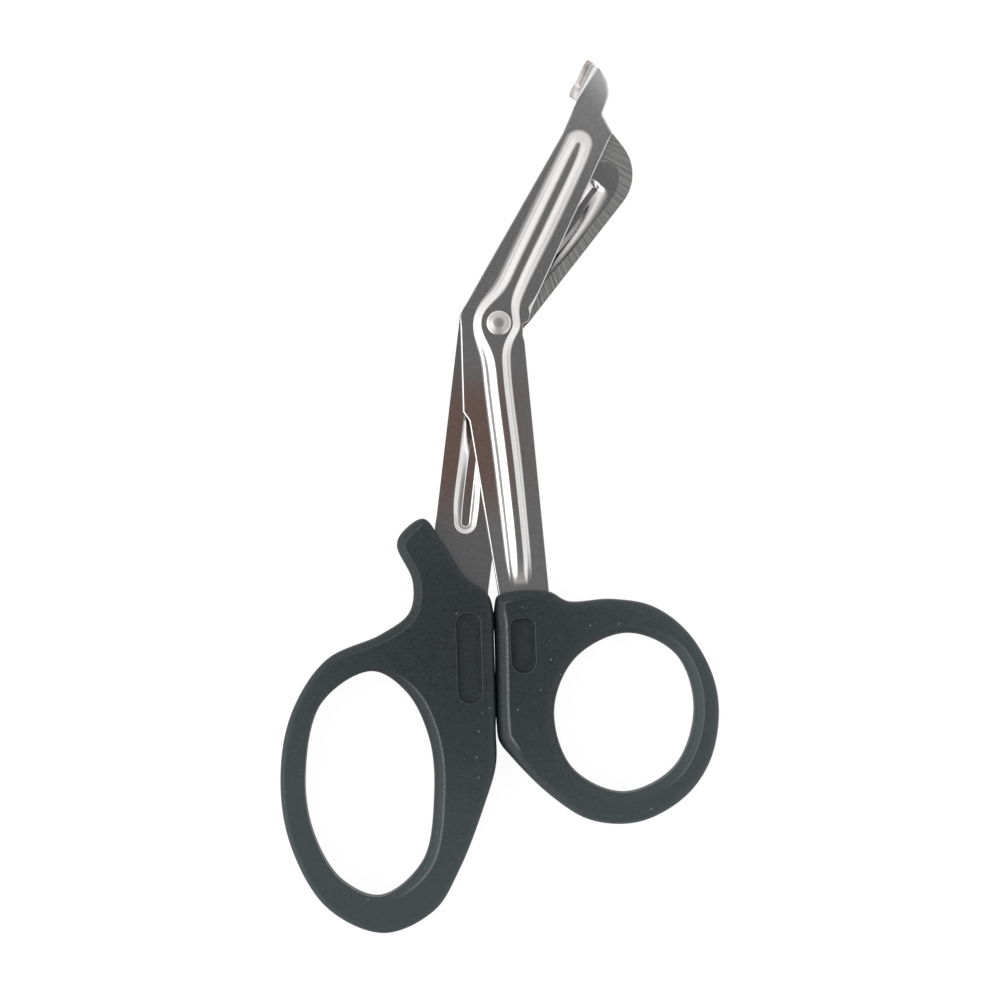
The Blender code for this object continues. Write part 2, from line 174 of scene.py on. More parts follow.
add_node(tent, "OutputWorld", inputs={"Surface": tent_light})
print("tent walls at", TENT_WALL, "and opening at", TENT_OPENING)

# %% [markdown]
# ## The paper
#
# The floor is white paper. Seen straight by the camera, or in the steel, it glows a little so that it comes
# out white, while the rest of its light still comes from the tent, which keeps a faint shadow. From below it
# is clear, so that the scissors can be looked at from there too.

# %% Lay the paper
PAPER_GLOW = 0.85
PAPER_LIGHT = 1.1
PAPER_SIZE = 8.0

paper = bpy.data.materials.new("white_background_paper")
paper.use_nodes = True
sheet = paper.node_tree
sheet.nodes.clear()
seen = add_node(sheet, "LightPath").outputs
shown = seen["Is Camera Ray"]
for way in ("Is Glossy Ray", "Is Transmission Ray"):
    shown = add_node(sheet, "Math", {"operation": "ADD", "use_clamp": True}, {0: shown, 1: seen[way]})
matte_paper = add_node(sheet, "BsdfDiffuse", inputs={"Color": linear("E6E6E5")})
glow = add_node(sheet, "Emission", inputs={"Strength": PAPER_LIGHT})
bright_paper = add_node(sheet, "MixShader", inputs={0: PAPER_GLOW, 1: matte_paper, 2: glow})
both = add_node(sheet, "MixShader", inputs={0: shown, 1: matte_paper, 2: bright_paper})
back = add_node(sheet, "NewGeometry").outputs["Backfacing"]
one_sided = add_node(sheet, "MixShader", inputs={0: back, 1: both, 2: add_node(sheet, "BsdfTransparent")})
add_node(sheet, "OutputMaterial", inputs={"Surface": one_sided})

bm = bmesh.new()
bmesh.ops.create_grid(bm, x_segments=1, y_segments=1, size=PAPER_SIZE / 2)
floor_mesh = bpy.data.meshes.new("paper_floor")
bm.to_mesh(floor_mesh)
bm.free()
floor_mesh.materials.append(paper)
floor = bpy.data.objects.new("paper_floor", floor_mesh)
bpy.context.scene.collection.objects.link(floor)
print("paper of", PAPER_SIZE, "m, glowing by", PAPER_GLOW)

# %% [markdown]
# ## The key light
#
# The tent alone would leave the black handles flat. One large softbox on the left brightens the roundings
# that face it and lets the others fall off.

# %% Hang the softbox
SOFTBOX_PLACE = Vector((-0.50, -0.12, 0.52))
SOFTBOX_SIDE = 0.45
SOFTBOX_WATTS = 0.9

softbox_data = bpy.data.lights.new("softbox", "AREA")
softbox_data.shape = "SQUARE"
softbox_data.size = SOFTBOX_SIDE
softbox_data.energy = SOFTBOX_WATTS
softbox = bpy.data.objects.new("softbox", softbox_data)
softbox.location = SOFTBOX_PLACE
softbox.rotation_mode = "QUATERNION"
softbox.rotation_quaternion = (-SOFTBOX_PLACE).to_track_quat("-Z", "Y")
bpy.context.scene.collection.objects.link(softbox)
print("softbox of", SOFTBOX_WATTS, "W at", round(SOFTBOX_PLACE.length, 2), "m")

# %% [markdown]
# ## Drawing outlines
#
# A stamping or a moulding starts from an outline. Two kinds are needed. The blades have straight edges and
# rounded corners, so their outline is a list of corners with a radius each. The handles flow, so their
# outline is read from the frame: the construction solid is cut at a height, and the cut's edge is the
# outline. It could be typed in again as points, but then the two models could drift apart.

# %% Define outline helpers
ARC_STEP = math.radians(9)
LONGEST_EDGE = 1.6


def filleted(corners):
    """Points of a closed outline whose corners (x, y, radius) are rounded by arcs, with no long edges."""
    arcs = []
    for index, (x, y, radius) in enumerate(corners):
        corner = Vector((x, y))
        if radius == 0:
            arcs.append(corner)
            continue
        arrive = (Vector(corners[index - 1][:2]) - corner).normalized()
        leave = (Vector(corners[(index + 1) % len(corners)][:2]) - corner).normalized()
        half = arrive.angle(leave) / 2
        centre = corner + (arrive + leave).normalized() * (radius / math.sin(half))
        spoke = corner + arrive * (radius / math.tan(half)) - centre
        sweep = math.pi - 2 * half
        turn = -1 if arrive.cross(leave) > 0 else 1
        steps = max(2, math.ceil(sweep / ARC_STEP))
        arcs += [centre + Matrix.Rotation(turn * sweep * step / steps, 2) @ spoke for step in range(steps + 1)]
    points = []
    for start, end in zip(arcs, arcs[1:] + arcs[:1]):
        parts = max(1, math.ceil((end - start).length / LONGEST_EDGE))
        points += [start.lerp(end, part / parts) for part in range(parts)]
    return points


def smooth_line(knots, spacing, closed):
    """A smooth line (centripetal Catmull-Rom) through knots, with a point about every spacing."""
    knots = [Vector(knot) for knot in knots]
    if closed:
        knots = [knots[-1], *knots, knots[0], knots[1]]
    else:
        knots = [2 * knots[0] - knots[1], *knots, 2 * knots[-1] - knots[-2]]
    line = []
    for before, start, end, after in zip(knots, knots[1:], knots[2:], knots[3:]):
        first = (start - before).length ** 0.5
        span = (end - start).length ** 0.5
        last = (after - end).length ** 0.5
        leave = (start - before) / first - (end - before) / (first + span) + (end - start) / span
        arrive = (end - start) / span - (after - start) / (span + last) + (after - end) / last
        steps = max(1, round((end - start).length / spacing))
        for step in range(steps):
            t = step / steps
            line.append(
                start * (2 * t**3 - 3 * t**2 + 1)
                + leave * span * (t**3 - 2 * t**2 + t)
                + end * (3 * t**2 - 2 * t**3)
                + arrive * span * (t**3 - t**2)
            )
    if not closed:
        line.append(knots[-2])
    return line


def outward_normals(points):
    """The outward direction at each point of a closed outline, lengthened where it turns."""
    area = sum(a.cross(b) for a, b in zip(points, points[1:] + points[:1]))
    side = 1 if area > 0 else -1
    normals = []
    for index, point in enumerate(points):
        arrive = (point - points[index - 1]).normalized()
        leave = (points[(index + 1) % len(points)] - point).normalized()
        middle = (arrive + leave).normalized()
        normals.append(Vector((middle.y, -middle.x)) * side / max(0.5, middle.dot(leave)))
    return normals


print("arcs are drawn every", round(math.degrees(ARC_STEP)), "degrees")

# %% [markdown]
# The next helper reads an outline from the frame. A CAD node is a soup of loose triangles, so a copy of it is
# merged first. `bisect_plane` then cuts the copy at a height and marks the cut, and the cut's edges are
# walked round to put their points in order, from the leftmost one on, so that each run of the script draws
# the same outline. Points on a straight run are dropped, because they come from the diagonals of the triangles
# and not from the shape.


# %% Read outlines from the frame
SAME_POINT = 0.0005
STRAIGHT = 0.0008


def frame_outlines(node, height):
    """The closed outlines of a CAD node at a height, in millimetres, the longest one first."""
    cut = bmesh.new()
    cut.from_mesh(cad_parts[node].data)
    bmesh.ops.scale(cut, vec=(1 / METRES,) * 3, verts=cut.verts)
    bmesh.ops.remove_doubles(cut, verts=cut.verts, dist=SAME_POINT)
    everything = cut.verts[:] + cut.edges[:] + cut.faces[:]
    made = bmesh.ops.bisect_plane(cut, geom=everything, plane_co=(0, 0, height), plane_no=(0, 0, 1))
    left = [item for item in made["geom_cut"] if isinstance(item, bmesh.types.BMEdge)]
    outlines = []
    while left:
        start, here = left.pop().verts
        walk = [start]
        while here is not start:
            walk.append(here)
            edge = next(item for item in here.link_edges if item in left)
            left.remove(edge)
            here = edge.other_vert(here)
        first = min(range(len(walk)), key=lambda at: tuple(walk[at].co))
        walk = walk[first:] + walk[:first]
        if tuple(walk[1].co) > tuple(walk[-1].co):
            walk[1:] = reversed(walk[1:])
        points = [vert.co.xy for vert in walk]
        kept = [
            point
            for before, point, after in zip(points[-1:] + points[:-1], points, points[1:] + points[:1])
            if abs((point - before).cross((after - before).normalized())) > STRAIGHT
        ]
        outlines.append(kept)
    cut.free()
    return sorted(outlines, key=lambda points: -sum((a - b).length for a, b in zip(points, points[1:])))


for handle in ("thumb_handle", "finger_handle"):
    print(handle, "outlines have", [len(points) for points in frame_outlines(handle, 5.0)], "points")

# %% [markdown]
# ## Growing a surface ring by ring
#
# All the pieces here can be made the way a form tool would sweep round them: start with one closed ring of
# vertices and extrude it again and again, each time moving the new ring to its place. `extrude_edge_only`
# makes the faces, and a flat face with holes is closed with `triangle_fill`. Bevels and subdivision could
# round the rims too, but rings give each rounding exactly the radius that it has on the real piece.


# %% Define ring helpers
def new_ring(bm, places):
    """A closed ring of new vertices and edges."""
    verts = [bm.verts.new(place) for place in places]
    for a, b in zip(verts, verts[1:] + verts[:1]):
        bm.edges.new((a, b))
    return verts


def ring_edges(bm, ring):
    """The edges of a closed ring of vertices."""
    return [bm.edges.get(pair) for pair in zip(ring, ring[1:] + ring[:1])]


def grow_ring(bm, ring, places):
    """Extrudes a ring and puts its new vertices at places, in the same order."""
    made = bmesh.ops.extrude_edge_only(bm, edges=ring_edges(bm, ring))["geom"]
    old = set(ring)
    partner = {}
    for vert in made:
        if isinstance(vert, bmesh.types.BMVert):
            for edge in vert.link_edges:
                if edge.other_vert(vert) in old:
                    partner[edge.other_vert(vert)] = vert
    grown = [partner[vert] for vert in ring]
    for vert, place in zip(grown, places):
        vert.co = place
    return grown


def fill_flat(bm, edges, finish=0):
    """Closes the flat area inside closed runs of edges, in one of the piece's finishes."""
    made = bmesh.ops.triangle_fill(bm, edges=edges, use_beauty=True, normal=(0, 0, 1))["geom"]
    for face in made:
        if isinstance(face, bmesh.types.BMFace):
            face.material_index = finish


def at_level(points, z):
    """Points of an outline as places at a height."""
    return [Vector((point.x, point.y, z)) for point in points]


print("ring helpers ready")

# %% [markdown]
# A finished mesh is scaled from millimetres to metres, its normals are made to point outwards, and it is
# shaded smooth except at real edges. A flat face next to a small rounding would look dished, because smooth
# shading averages their normals. The Weighted Normal modifier lets the large flat faces win, as a machinist's
# eye does.

# %% Define how a piece is finished
SHARP_EDGE = math.radians(38)
MERGE_DISTANCE = 0.0004


def finished_piece(name, bm, finishes):
    """Makes a bmesh in millimetres into a smooth-shaded object in metres, at the origin."""
    bmesh.ops.remove_doubles(bm, verts=bm.verts, dist=MERGE_DISTANCE)
    bmesh.ops.dissolve_degenerate(bm, edges=bm.edges, dist=MERGE_DISTANCE / 2)
    bmesh.ops.recalc_face_normals(bm, faces=bm.faces)
    bmesh.ops.scale(bm, vec=(METRES,) * 3, verts=bm.verts)
    open_edges = sum(1 for edge in bm.edges if len(edge.link_faces) != 2)
    mesh = bpy.data.meshes.new(name)
    bm.to_mesh(mesh)
    bm.free()
    for finish in finishes:
        mesh.materials.append(finish)
    mesh.shade_smooth()
    mesh.set_sharp_from_angle(angle=SHARP_EDGE)
    piece = bpy.data.objects.new(name, mesh)
    bpy.context.scene.collection.objects.link(piece)
    weighted = piece.modifiers.new("flat_faces_win", "WEIGHTED_NORMAL")
    weighted.keep_sharp = True
    print(name, "has", len(mesh.polygons), "faces and", open_edges, "open edges")
    return piece


print("edges over", round(math.degrees(SHARP_EDGE)), "degrees stay sharp")

# %% [markdown]
# ## Finish: tumbled stainless steel
#
# Blade steel such as 420 stainless comes rolled and is tumbled with stone chips after stamping. That leaves a
# soft mirror: slopes blur what they reflect, and flats are even and slightly mottled. A plain metal of one
# roughness would look like chrome toys, so three patterns break it up: a faint waviness of the sheet, the
# tumbled grain, and a few tiny near-white spots, which are painted glints. They lie on Object coordinates,
# which are metres here, so a pattern's size is given in real millimetres, and it runs on over rims and bends.
#
# Scissor blades are also bowed, so that they only touch where they cut. The bow is far less than a sheet's
# thickness and can't be seen as a shape, but it makes the flat steel brighter towards the tip. So it is added
# to the waviness, as a slope that grows steadily from near the pivot on. Folding the shoe has bent the very
# tip a little more. The rear blade has the same finish, with darker flats that are painted shade.
#
# A warm brown tint is painted on the flats of the shank, below the pivot, and mostly towards its left side:
# it is a painted reflection of the warm light that those flats show. The mask for it is a product of four
# ramps: one that fades it out on slopes, two along the shank, and one across it. The first of them also makes
# the slopes of the bead a little brighter, which is a painted highlight.

# %% Make the tumbled steel
WAVE_LENGTH = 9.0
WAVE_DEPTH = 0.04
GRAIN_SIZE = 0.22
GRAIN_DEPTH = 0.0008
GRAIN_SPREAD = {"From Min": 0.3, "From Max": 0.7}
GRAIN_ROUGHNESS = {"To Min": 0.17, "To Max": 0.24}
GRAIN_SHADE = {"To Min": 0.94, "To Max": 1.06}
GLINT_SPACING = 2.2
GLINT_SHARE = 0.05
REFLECTION_TINT_TOP = (-5.0, -14.0)
REFLECTION_TINT_FOOT = (-35.0, -23.0)
REFLECTION_TINT_SIDE = (7.0, -2.0)
REFLECTION_TINT_LEAST = 0.1
FLAT_ENOUGH = {"From Min": 0.988, "From Max": 0.9985}
BLADE_WAY = (0.426, 0.905, 0.0)
BOW_FROM = 8.0
BOW_RADIUS = 290.0
TIP_WAY = (0.8, 0.6, 0.0)
TIP_FROM = 33.0
TIP_RADIUS = 45.0


def pattern_scale(size):
    """The scale at which a pattern on Object coordinates has details of a size in millimetres."""
    return 1 / (size * METRES)


def new_finish(name):
    """An empty material with its node tree and the coordinates that its patterns lie on."""
    made = bpy.data.materials.new(name)
    made.use_nodes = True
    tree = made.node_tree
    tree.nodes.clear()
    return made, tree, add_node(tree, "TexCoord").outputs


def sag(tree, place, way, start, radius):
    """How far a sheet that bends away over a radius has dropped, beyond start along a way."""
    along = add_node(tree, "VectorMath", {"operation": "DOT_PRODUCT"}, {0: place, 1: way})
    beyond = add_node(tree, "Math", {"operation": "SUBTRACT"}, {0: along, 1: start * METRES})
    reach = add_node(tree, "Math", {"operation": "MAXIMUM"}, {0: beyond, 1: 0.0})
    squared = add_node(tree, "Math", TIMES, {0: reach, 1: reach})
    return add_node(tree, "Math", TIMES, {0: squared, 1: -0.5 / (radius * METRES)})


def tumbled_steel(name, flat_colour, slope_highlight_colour):
    made, tree, coordinates = new_finish(name)
    place = coordinates["Object"]
    parts = add_node(tree, "SeparateXYZ", inputs={"Vector": place}).outputs
    facing = add_node(tree, "SeparateXYZ", inputs={"Vector": coordinates["Normal"]}).outputs
    flatness = add_node(tree, "MapRange", SMOOTH, {"Value": facing["Z"], **FLAT_ENOUGH})
    # Painted reflection: a warm brown tint on the shank's flats, masked by flatness and three ramps.
    reflection_tint_mask = flatness
    fades = (("Y", REFLECTION_TINT_TOP, 0.0), ("Y", REFLECTION_TINT_FOOT, 0.0), ("X", REFLECTION_TINT_SIDE, REFLECTION_TINT_LEAST))
    for way, (start, end), least in fades:
        limits = {"From Min": start * METRES, "From Max": end * METRES, "To Min": least}
        fading = add_node(tree, "MapRange", SMOOTH, {"Value": parts[way], **limits})
        reflection_tint_mask = add_node(tree, "Math", TIMES, {0: reflection_tint_mask, 1: fading})
    # Slopes take the lighter colour, a painted highlight; flats take the flat colour.
    ends = {"A": linear(slope_highlight_colour), "B": linear(flat_colour)}
    bare = add_node(tree, "Mix", COLOURS, {"Factor": flatness, **ends})
    reflection_tinted = add_node(tree, "Mix", COLOURS, {"Factor": reflection_tint_mask, "A": bare, "B": linear("C7A89F")})
    waves, grain = (
        add_node(tree, "TexNoise", inputs={"Vector": place, "Scale": pattern_scale(size), "Detail": detail})
        for size, detail in ((WAVE_LENGTH, 1.0), (GRAIN_SIZE, 3.0))
    )
    # Painted glints: a few tiny spots of near-white steel.
    glint_cells = add_node(tree, "TexVoronoi", inputs={"Vector": place, "Scale": pattern_scale(GLINT_SPACING)})
    glint_limits = {"From Min": GLINT_SHARE, "From Max": GLINT_SHARE / 2}
    glint_mask = add_node(tree, "MapRange", inputs={"Value": glint_cells, **glint_limits})
    roughness = add_node(tree, "MapRange", inputs={"Value": grain, **GRAIN_SPREAD, **GRAIN_ROUGHNESS})
    shade = add_node(tree, "MapRange", inputs={"Value": grain, **GRAIN_SPREAD, **GRAIN_SHADE})
    shaded = add_node(tree, "HueSaturation", inputs={"Value": shade, "Color": reflection_tinted})
    colour = add_node(tree, "Mix", COLOURS, {"Factor": glint_mask, "A": shaded, "B": linear("F4F2F0")})
    bow = sag(tree, place, BLADE_WAY, BOW_FROM, BOW_RADIUS)
    tip = sag(tree, place, TIP_WAY, TIP_FROM, TIP_RADIUS)
    bend = add_node(tree, "Math", {"operation": "ADD"}, {0: bow, 1: tip})
    relief = add_node(tree, "Bump", inputs={"Distance": 1.0, "Height": bend})
    for pattern, depth in ((waves, WAVE_DEPTH), (grain, GRAIN_DEPTH)):
        below = {"Distance": depth * METRES, "Normal": relief}
        relief = add_node(tree, "Bump", inputs={"Height": pattern, **below})
    finish = {"Base Color": colour, "Metallic": 1.0, "Roughness": roughness, "Normal": relief}
    surface = add_node(tree, "BsdfPrincipled", inputs=finish)
    add_node(tree, "OutputMaterial", inputs={"Surface": surface})
    return made


steel = tumbled_steel("tumbled_stainless_steel", "CBCBCD", "D1D0D0")
# The rear blade's steel: its darker flat colour is painted shade.
shaded_rear_steel = tumbled_steel("tumbled_steel_painted_shade", "B8B8BB", "CECCCC")
print(steel.name, "has waves of", WAVE_LENGTH, "mm and grain of", GRAIN_SIZE, "mm")

# %% [markdown]
# ## Finish: ground land
#
# The inner faces of the blades are ground flat so that they meet, by a wheel that sweeps across the edge. The
# scratches lie across the blade and fan out slowly, because the blade swings past the wheel on a long arm. A
# noise that reads only the angle about the arm's far end draws such marks: fine ones for the grit, and coarse
# ones for the passes. The real grit is finer than a pixel, so it is drawn as coarse as it needs to show.

# %% Make the ground land
FINGER_GRINDING_ARM = (-0.8, 36.5)
THUMB_GRINDING_ARM = (-14.0, 36.0)
ARM_RADIUS = 24.0
MARK_WIDTH = 0.27
PASS_WIDTH = 1.6
PASS_SHARE = 0.1
MARK_SPREAD = {"From Min": 0.4, "From Max": 0.68}
MARK_DEPTH = 0.006


def ground_steel(name, arm_end):
    made, tree, coordinates = new_finish(name)
    shift = (-arm_end[0] * METRES, -arm_end[1] * METRES, 0)
    moved = {"Vector": coordinates["Object"], "Location": shift}
    centred = add_node(tree, "Mapping", {"vector_type": "POINT"}, moved)
    angle = add_node(tree, "TexGradient", {"gradient_type": "RADIAL"}, {"Vector": centred}).outputs["Fac"]
    marks, passes = (
        add_node(
            tree,
            "TexNoise",
            {"noise_dimensions": "1D"},
            {"W": angle, "Scale": math.tau * ARM_RADIUS / width, "Detail": detail, "Roughness": roughness},
        )
        for width, detail, roughness in ((MARK_WIDTH, 3.0, 0.65), (PASS_WIDTH, 2.0, 0.5))
    )
    streaks = add_node(tree, "Math", {"operation": "MULTIPLY_ADD"}, {0: passes, 1: PASS_SHARE, 2: marks})
    tone = add_node(tree, "MapRange", inputs={"Value": streaks, **MARK_SPREAD})
    colour = add_node(tree, "Mix", COLOURS, {"Factor": tone, "A": linear("A2A3A3"), "B": linear("E2E2E1")})
    scratched = add_node(tree, "Bump", inputs={"Distance": MARK_DEPTH * METRES, "Height": marks})
    finish = {"Base Color": colour, "Metallic": 1.0, "Roughness": 0.3, "Normal": scratched}
    surface = add_node(tree, "BsdfPrincipled", inputs=finish)
    add_node(tree, "OutputMaterial", inputs={"Surface": surface})
    return made


finger_land = ground_steel("cross_ground_finger_land", FINGER_GRINDING_ARM)
thumb_land = ground_steel("cross_ground_thumb_land", THUMB_GRINDING_ARM)
print("grinding marks every", MARK_WIDTH, "mm, fanned about", FINGER_GRINDING_ARM)

# %% [markdown]
# ## Finish: sheared edge
#
# Where the die cut the sheet, its edge is torn and matte, with fine lines along the cut. On these scissors it
# shows from above in one place only, on the shoe, whose edge is turned up towards the eye. The lines follow
# the fold, so the coordinates are turned by the fold's angle and squeezed along it.

# %% Make the sheared edge
TEAR_WIDTH = 0.16
TEAR_LENGTH = 2.5
TEAR_DEPTH = 0.01
FOLD_ANGLE = math.atan2(5.3, 3.65)


def sheared_steel():
    made, tree, coordinates = new_finish("sheared_edge_steel")
    turned = {"Rotation": (0, 0, -FOLD_ANGLE), "Scale": (TEAR_WIDTH / TEAR_LENGTH, 1, 1)}
    along = add_node(tree, "Mapping", {"vector_type": "POINT"}, {"Vector": coordinates["Object"], **turned})
    pattern = {"Vector": along, "Scale": pattern_scale(TEAR_WIDTH), "Detail": 2.0}
    tears = add_node(tree, "TexNoise", inputs=pattern)
    colour = add_node(tree, "Mix", COLOURS, {"Factor": tears, "A": linear("8F8A88"), "B": linear("C9C3C0")})
    torn = add_node(tree, "Bump", inputs={"Distance": TEAR_DEPTH * METRES, "Height": tears})
    finish = {"Base Color": colour, "Metallic": 1.0, "Roughness": 0.4, "Normal": torn}
    surface = add_node(tree, "BsdfPrincipled", inputs=finish)
    add_node(tree, "OutputMaterial", inputs={"Surface": surface})
    return made


sheared_edge = sheared_steel()
print(sheared_edge.name, "has lines", TEAR_WIDTH, "mm apart along the fold")

# %% [markdown]
# ## Finish: headed rivet steel
#
# The rivet is soft stainless wire whose head was formed in a polished die. It is brighter than the blades,
# with small dents where the punch touched it.

# %% Make the rivet steel
DENT_SIZE = 0.9
DENT_DEPTH = 0.03


def headed_steel():
    made, tree, coordinates = new_finish("headed_rivet_steel")
    pattern = {"Vector": coordinates["Object"], "Scale": pattern_scale(DENT_SIZE), "Detail": 2.0}
    dents = add_node(tree, "TexNoise", inputs=pattern)
    dented = add_node(tree, "Bump", inputs={"Distance": DENT_DEPTH * METRES, "Height": dents})
    finish = {"Base Color": linear("D6D2CF"), "Metallic": 1.0, "Roughness": 0.28, "Normal": dented}
    surface = add_node(tree, "BsdfPrincipled", inputs=finish)
    add_node(tree, "OutputMaterial", inputs={"Surface": surface})
    return made


rivet_steel = headed_steel()
print(rivet_steel.name, "has dents of", DENT_SIZE, "mm")

# %% [markdown]
# ## Finish: moulded nylon
#
# The handles are glass-filled nylon in black. The mould was spark-eroded, which prints a fine matte grain on
# them, and the glass shows as a faint mottling with a few light specks. The loops are a little paler than the
# neck, the more so the further they are from it. Along the rims' creases runs a thin pale line, a painted
# highlight. The mesh carries that highlight in an attribute, because only the mesh knows where its rims are.

# %% Make the nylon
MOULD_GRAIN = 0.3
MOULD_GRAIN_DEPTH = 0.02
MOTTLING_SIZE = 0.45
MOTTLING_SPREAD = {"From Min": 0.33, "From Max": 0.67}
MOTTLING_SHARE = 0.45
SPECK_SPACING = 2.6
SPECK_SHARES = {"From Min": 0.055, "From Max": 0.03}
NECK = (-5.0, -50.0, 3.0)
PALE_REACH = (4.0, 42.0)
PALENESS = 0.75
# The mesh attribute that holds the strength of the painted crease highlight.
CREASE_HIGHLIGHT = "crease_highlight"
HIGHLIGHT_BREAKUP = {"From Min": 0.35, "From Max": 0.6, "To Min": 0.35}


def moulded_nylon():
    made, tree, coordinates = new_finish("spark_grained_black_nylon")
    place = coordinates["Object"]
    grain, mottling = (
        add_node(
            tree,
            "TexNoise",
            inputs={"Vector": place, "Scale": pattern_scale(size), "Detail": detail, "Roughness": roughness},
        )
        for size, detail, roughness in ((MOULD_GRAIN, 4.0, 0.6), (MOTTLING_SIZE, 5.0, 0.7))
    )
    specks = add_node(tree, "TexVoronoi", inputs={"Vector": place, "Scale": pattern_scale(SPECK_SPACING)})
    speck_mask = add_node(tree, "MapRange", inputs={"Value": specks, **SPECK_SHARES})
    mottled = add_node(tree, "MapRange", inputs={"Value": mottling, **MOTTLING_SPREAD})
    # The loops are paler the further they are from the neck.
    neck = [side * METRES for side in NECK]
    from_neck = add_node(tree, "VectorMath", {"operation": "DISTANCE"}, {0: place, 1: neck})
    pale_limits = {"From Min": PALE_REACH[0] * METRES, "From Max": PALE_REACH[1] * METRES, "To Max": PALENESS}
    paleness = add_node(tree, "MapRange", SMOOTH, {"Value": from_neck, **pale_limits})
    shade = add_node(
        tree, "Math", {"operation": "MULTIPLY_ADD"}, {0: mottled, 1: MOTTLING_SHARE, 2: paleness}
    )
    black = add_node(tree, "Mix", COLOURS, {"Factor": shade, "A": linear("030C12"), "B": linear("303B3D")})
    speckled = add_node(tree, "Mix", COLOURS, {"Factor": speck_mask, "A": black, "B": linear("7C8484")})
    # Painted highlight: a pale line along the creases, read from the mesh and broken up by the grain.
    named = {"attribute_type": "GEOMETRY", "attribute_name": CREASE_HIGHLIGHT}
    highlight_share = add_node(tree, "Attribute", named).outputs["Fac"]
    uneven = add_node(tree, "MapRange", inputs={"Value": grain, **HIGHLIGHT_BREAKUP})
    highlight_here = add_node(tree, "Math", TIMES, {0: highlight_share, 1: uneven})
    colour = add_node(tree, "Mix", COLOURS, {"Factor": highlight_here, "A": speckled, "B": linear("848887")})
    grained = add_node(tree, "Bump", inputs={"Distance": MOULD_GRAIN_DEPTH * METRES, "Height": grain})
    finish = {"Base Color": colour, "Roughness": 0.52, "IOR": 1.46, "Normal": grained}
    surface = add_node(tree, "BsdfPrincipled", inputs=finish)
    add_node(tree, "OutputMaterial", inputs={"Surface": surface})
    return made


nylon = moulded_nylon()
print(nylon.name, "has grain of", MOULD_GRAIN, "mm")

# %% [markdown]
# ## The stamped sheet
#
# Both blades are 1.1 mm sheet. The levels through the thickness come from the frame: the rear face of the
# front blade and the front face of the rear one lie either side of the middle plane.

# %% Read the levels from the frame
SHEET = 1.1
BEAD_RISE = 0.7
BORE_RADIUS = 1.6

thumb_low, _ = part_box("thumb_blade")
_, finger_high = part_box("finger_blade")
THUMB_BACK = thumb_low.z / METRES
THUMB_FACE = THUMB_BACK + SHEET
FINGER_FACE = finger_high.z / METRES
FINGER_BACK = FINGER_FACE - SHEET
print("thumb blade", round(THUMB_BACK, 2), "to", round(THUMB_FACE, 2))
print("finger blade", round(FINGER_BACK, 2), "to", round(FINGER_FACE, 2))

# %% [markdown]
# ## The bead
#
# A long bead is pressed into each blade to stiffen it, and it swells to a boss where the rivet goes through.
# On the other face of the sheet it is a groove. How it shines depends on how steep it is at each point, so
# each side is described by its steepness: from the soft foot, past the faint line that the die's edge leaves,
# over the steepest part and on to the top. Adding up the steepness gives the height.
#
# The two sides differ, and so do the blade's end and the shank's, because the press tool was not quite even.
# A knot of the bead's centre line therefore has seven numbers: where it is, how far out the foot and the edge
# of the top lie on the left and on the right, and how much the sheet is pressed there, as a share of the full
# rise. Where the punch bottomed out, its groove is deeper than the bead is high, and the sheet is thinner. At
# the thumb handle the press fades to almost nothing, so that the bead runs out on the flat shank.

# %% Define the bead
BOSS_FOOT = 3.85
BOSS_TOP_HALF = 2.45
BOSS_SPREAD = 3.4
SLOPE_ROWS = 34
END_STEPS = 18
FLAT_MARGIN = 0.06
BEAD_SPACING = 0.6
SUMS_PER_ROW = 20
SHANK_CHANGE = (4.0, -8.0)
UNCOVERED = (-18.0, -26.0)


def heights(*knots):
    """Heights from 0 to 1 for even steps across a slope whose steepness in degrees is given by knots."""
    total = 0.0
    made = [0.0]
    for step in range(SLOPE_ROWS * SUMS_PER_ROW):
        share = (step + 0.5) / (SLOPE_ROWS * SUMS_PER_ROW)
        for (start, before), (end, after) in zip(knots, knots[1:]):
            if start <= share <= end:
                total += math.tan(math.radians(before + (after - before) * (share - start) / (end - start)))
                break
        if (step + 1) % SUMS_PER_ROW == 0:
            made.append(total)
    return [height / total for height in made]


BLADE_LEFT = heights(
    (0, 2), (0.05, 6), (0.1, 7.5), (0.15, 8.5), (0.21, 10.5), (0.27, 14.5), (0.32, 18), (0.35, 18.5),
    (0.385, 11), (0.41, 11), (0.44, 19), (0.52, 21.5), (0.6, 23), (0.65, 22.8), (0.7, 21.5), (0.76, 18.5),
    (0.82, 14.5), (0.88, 9), (0.94, 5), (1, 1),
)
BLADE_RIGHT = heights(
    (0, 2), (0.06, 8), (0.12, 10), (0.17, 13), (0.22, 17), (0.27, 18), (0.32, 15.5), (0.36, 14),
    (0.42, 16.5), (0.5, 18.5), (0.57, 21.5), (0.64, 25), (0.7, 26), (0.75, 23.5), (0.8, 18), (0.86, 12),
    (0.92, 7), (1, 1),
)
SHANK_LEFT = heights(
    (0, 4), (0.04, 10), (0.09, 12.5), (0.13, 17), (0.17, 24), (0.21, 27), (0.24, 22), (0.28, 14),
    (0.34, 11), (0.4, 11.5), (0.44, 14), (0.49, 22), (0.54, 26), (0.6, 28), (0.75, 28), (0.82, 26.5),
    (0.87, 23), (0.91, 16), (0.95, 9), (1, 2),
)
SHANK_RIGHT = heights(
    (0, 3), (0.07, 10), (0.12, 15), (0.17, 19), (0.22, 19.5), (0.28, 15), (0.34, 13.5), (0.4, 15),
    (0.47, 19), (0.53, 26), (0.59, 38), (0.65, 43), (0.74, 43), (0.8, 36), (0.86, 20), (0.92, 9), (1, 2),
)
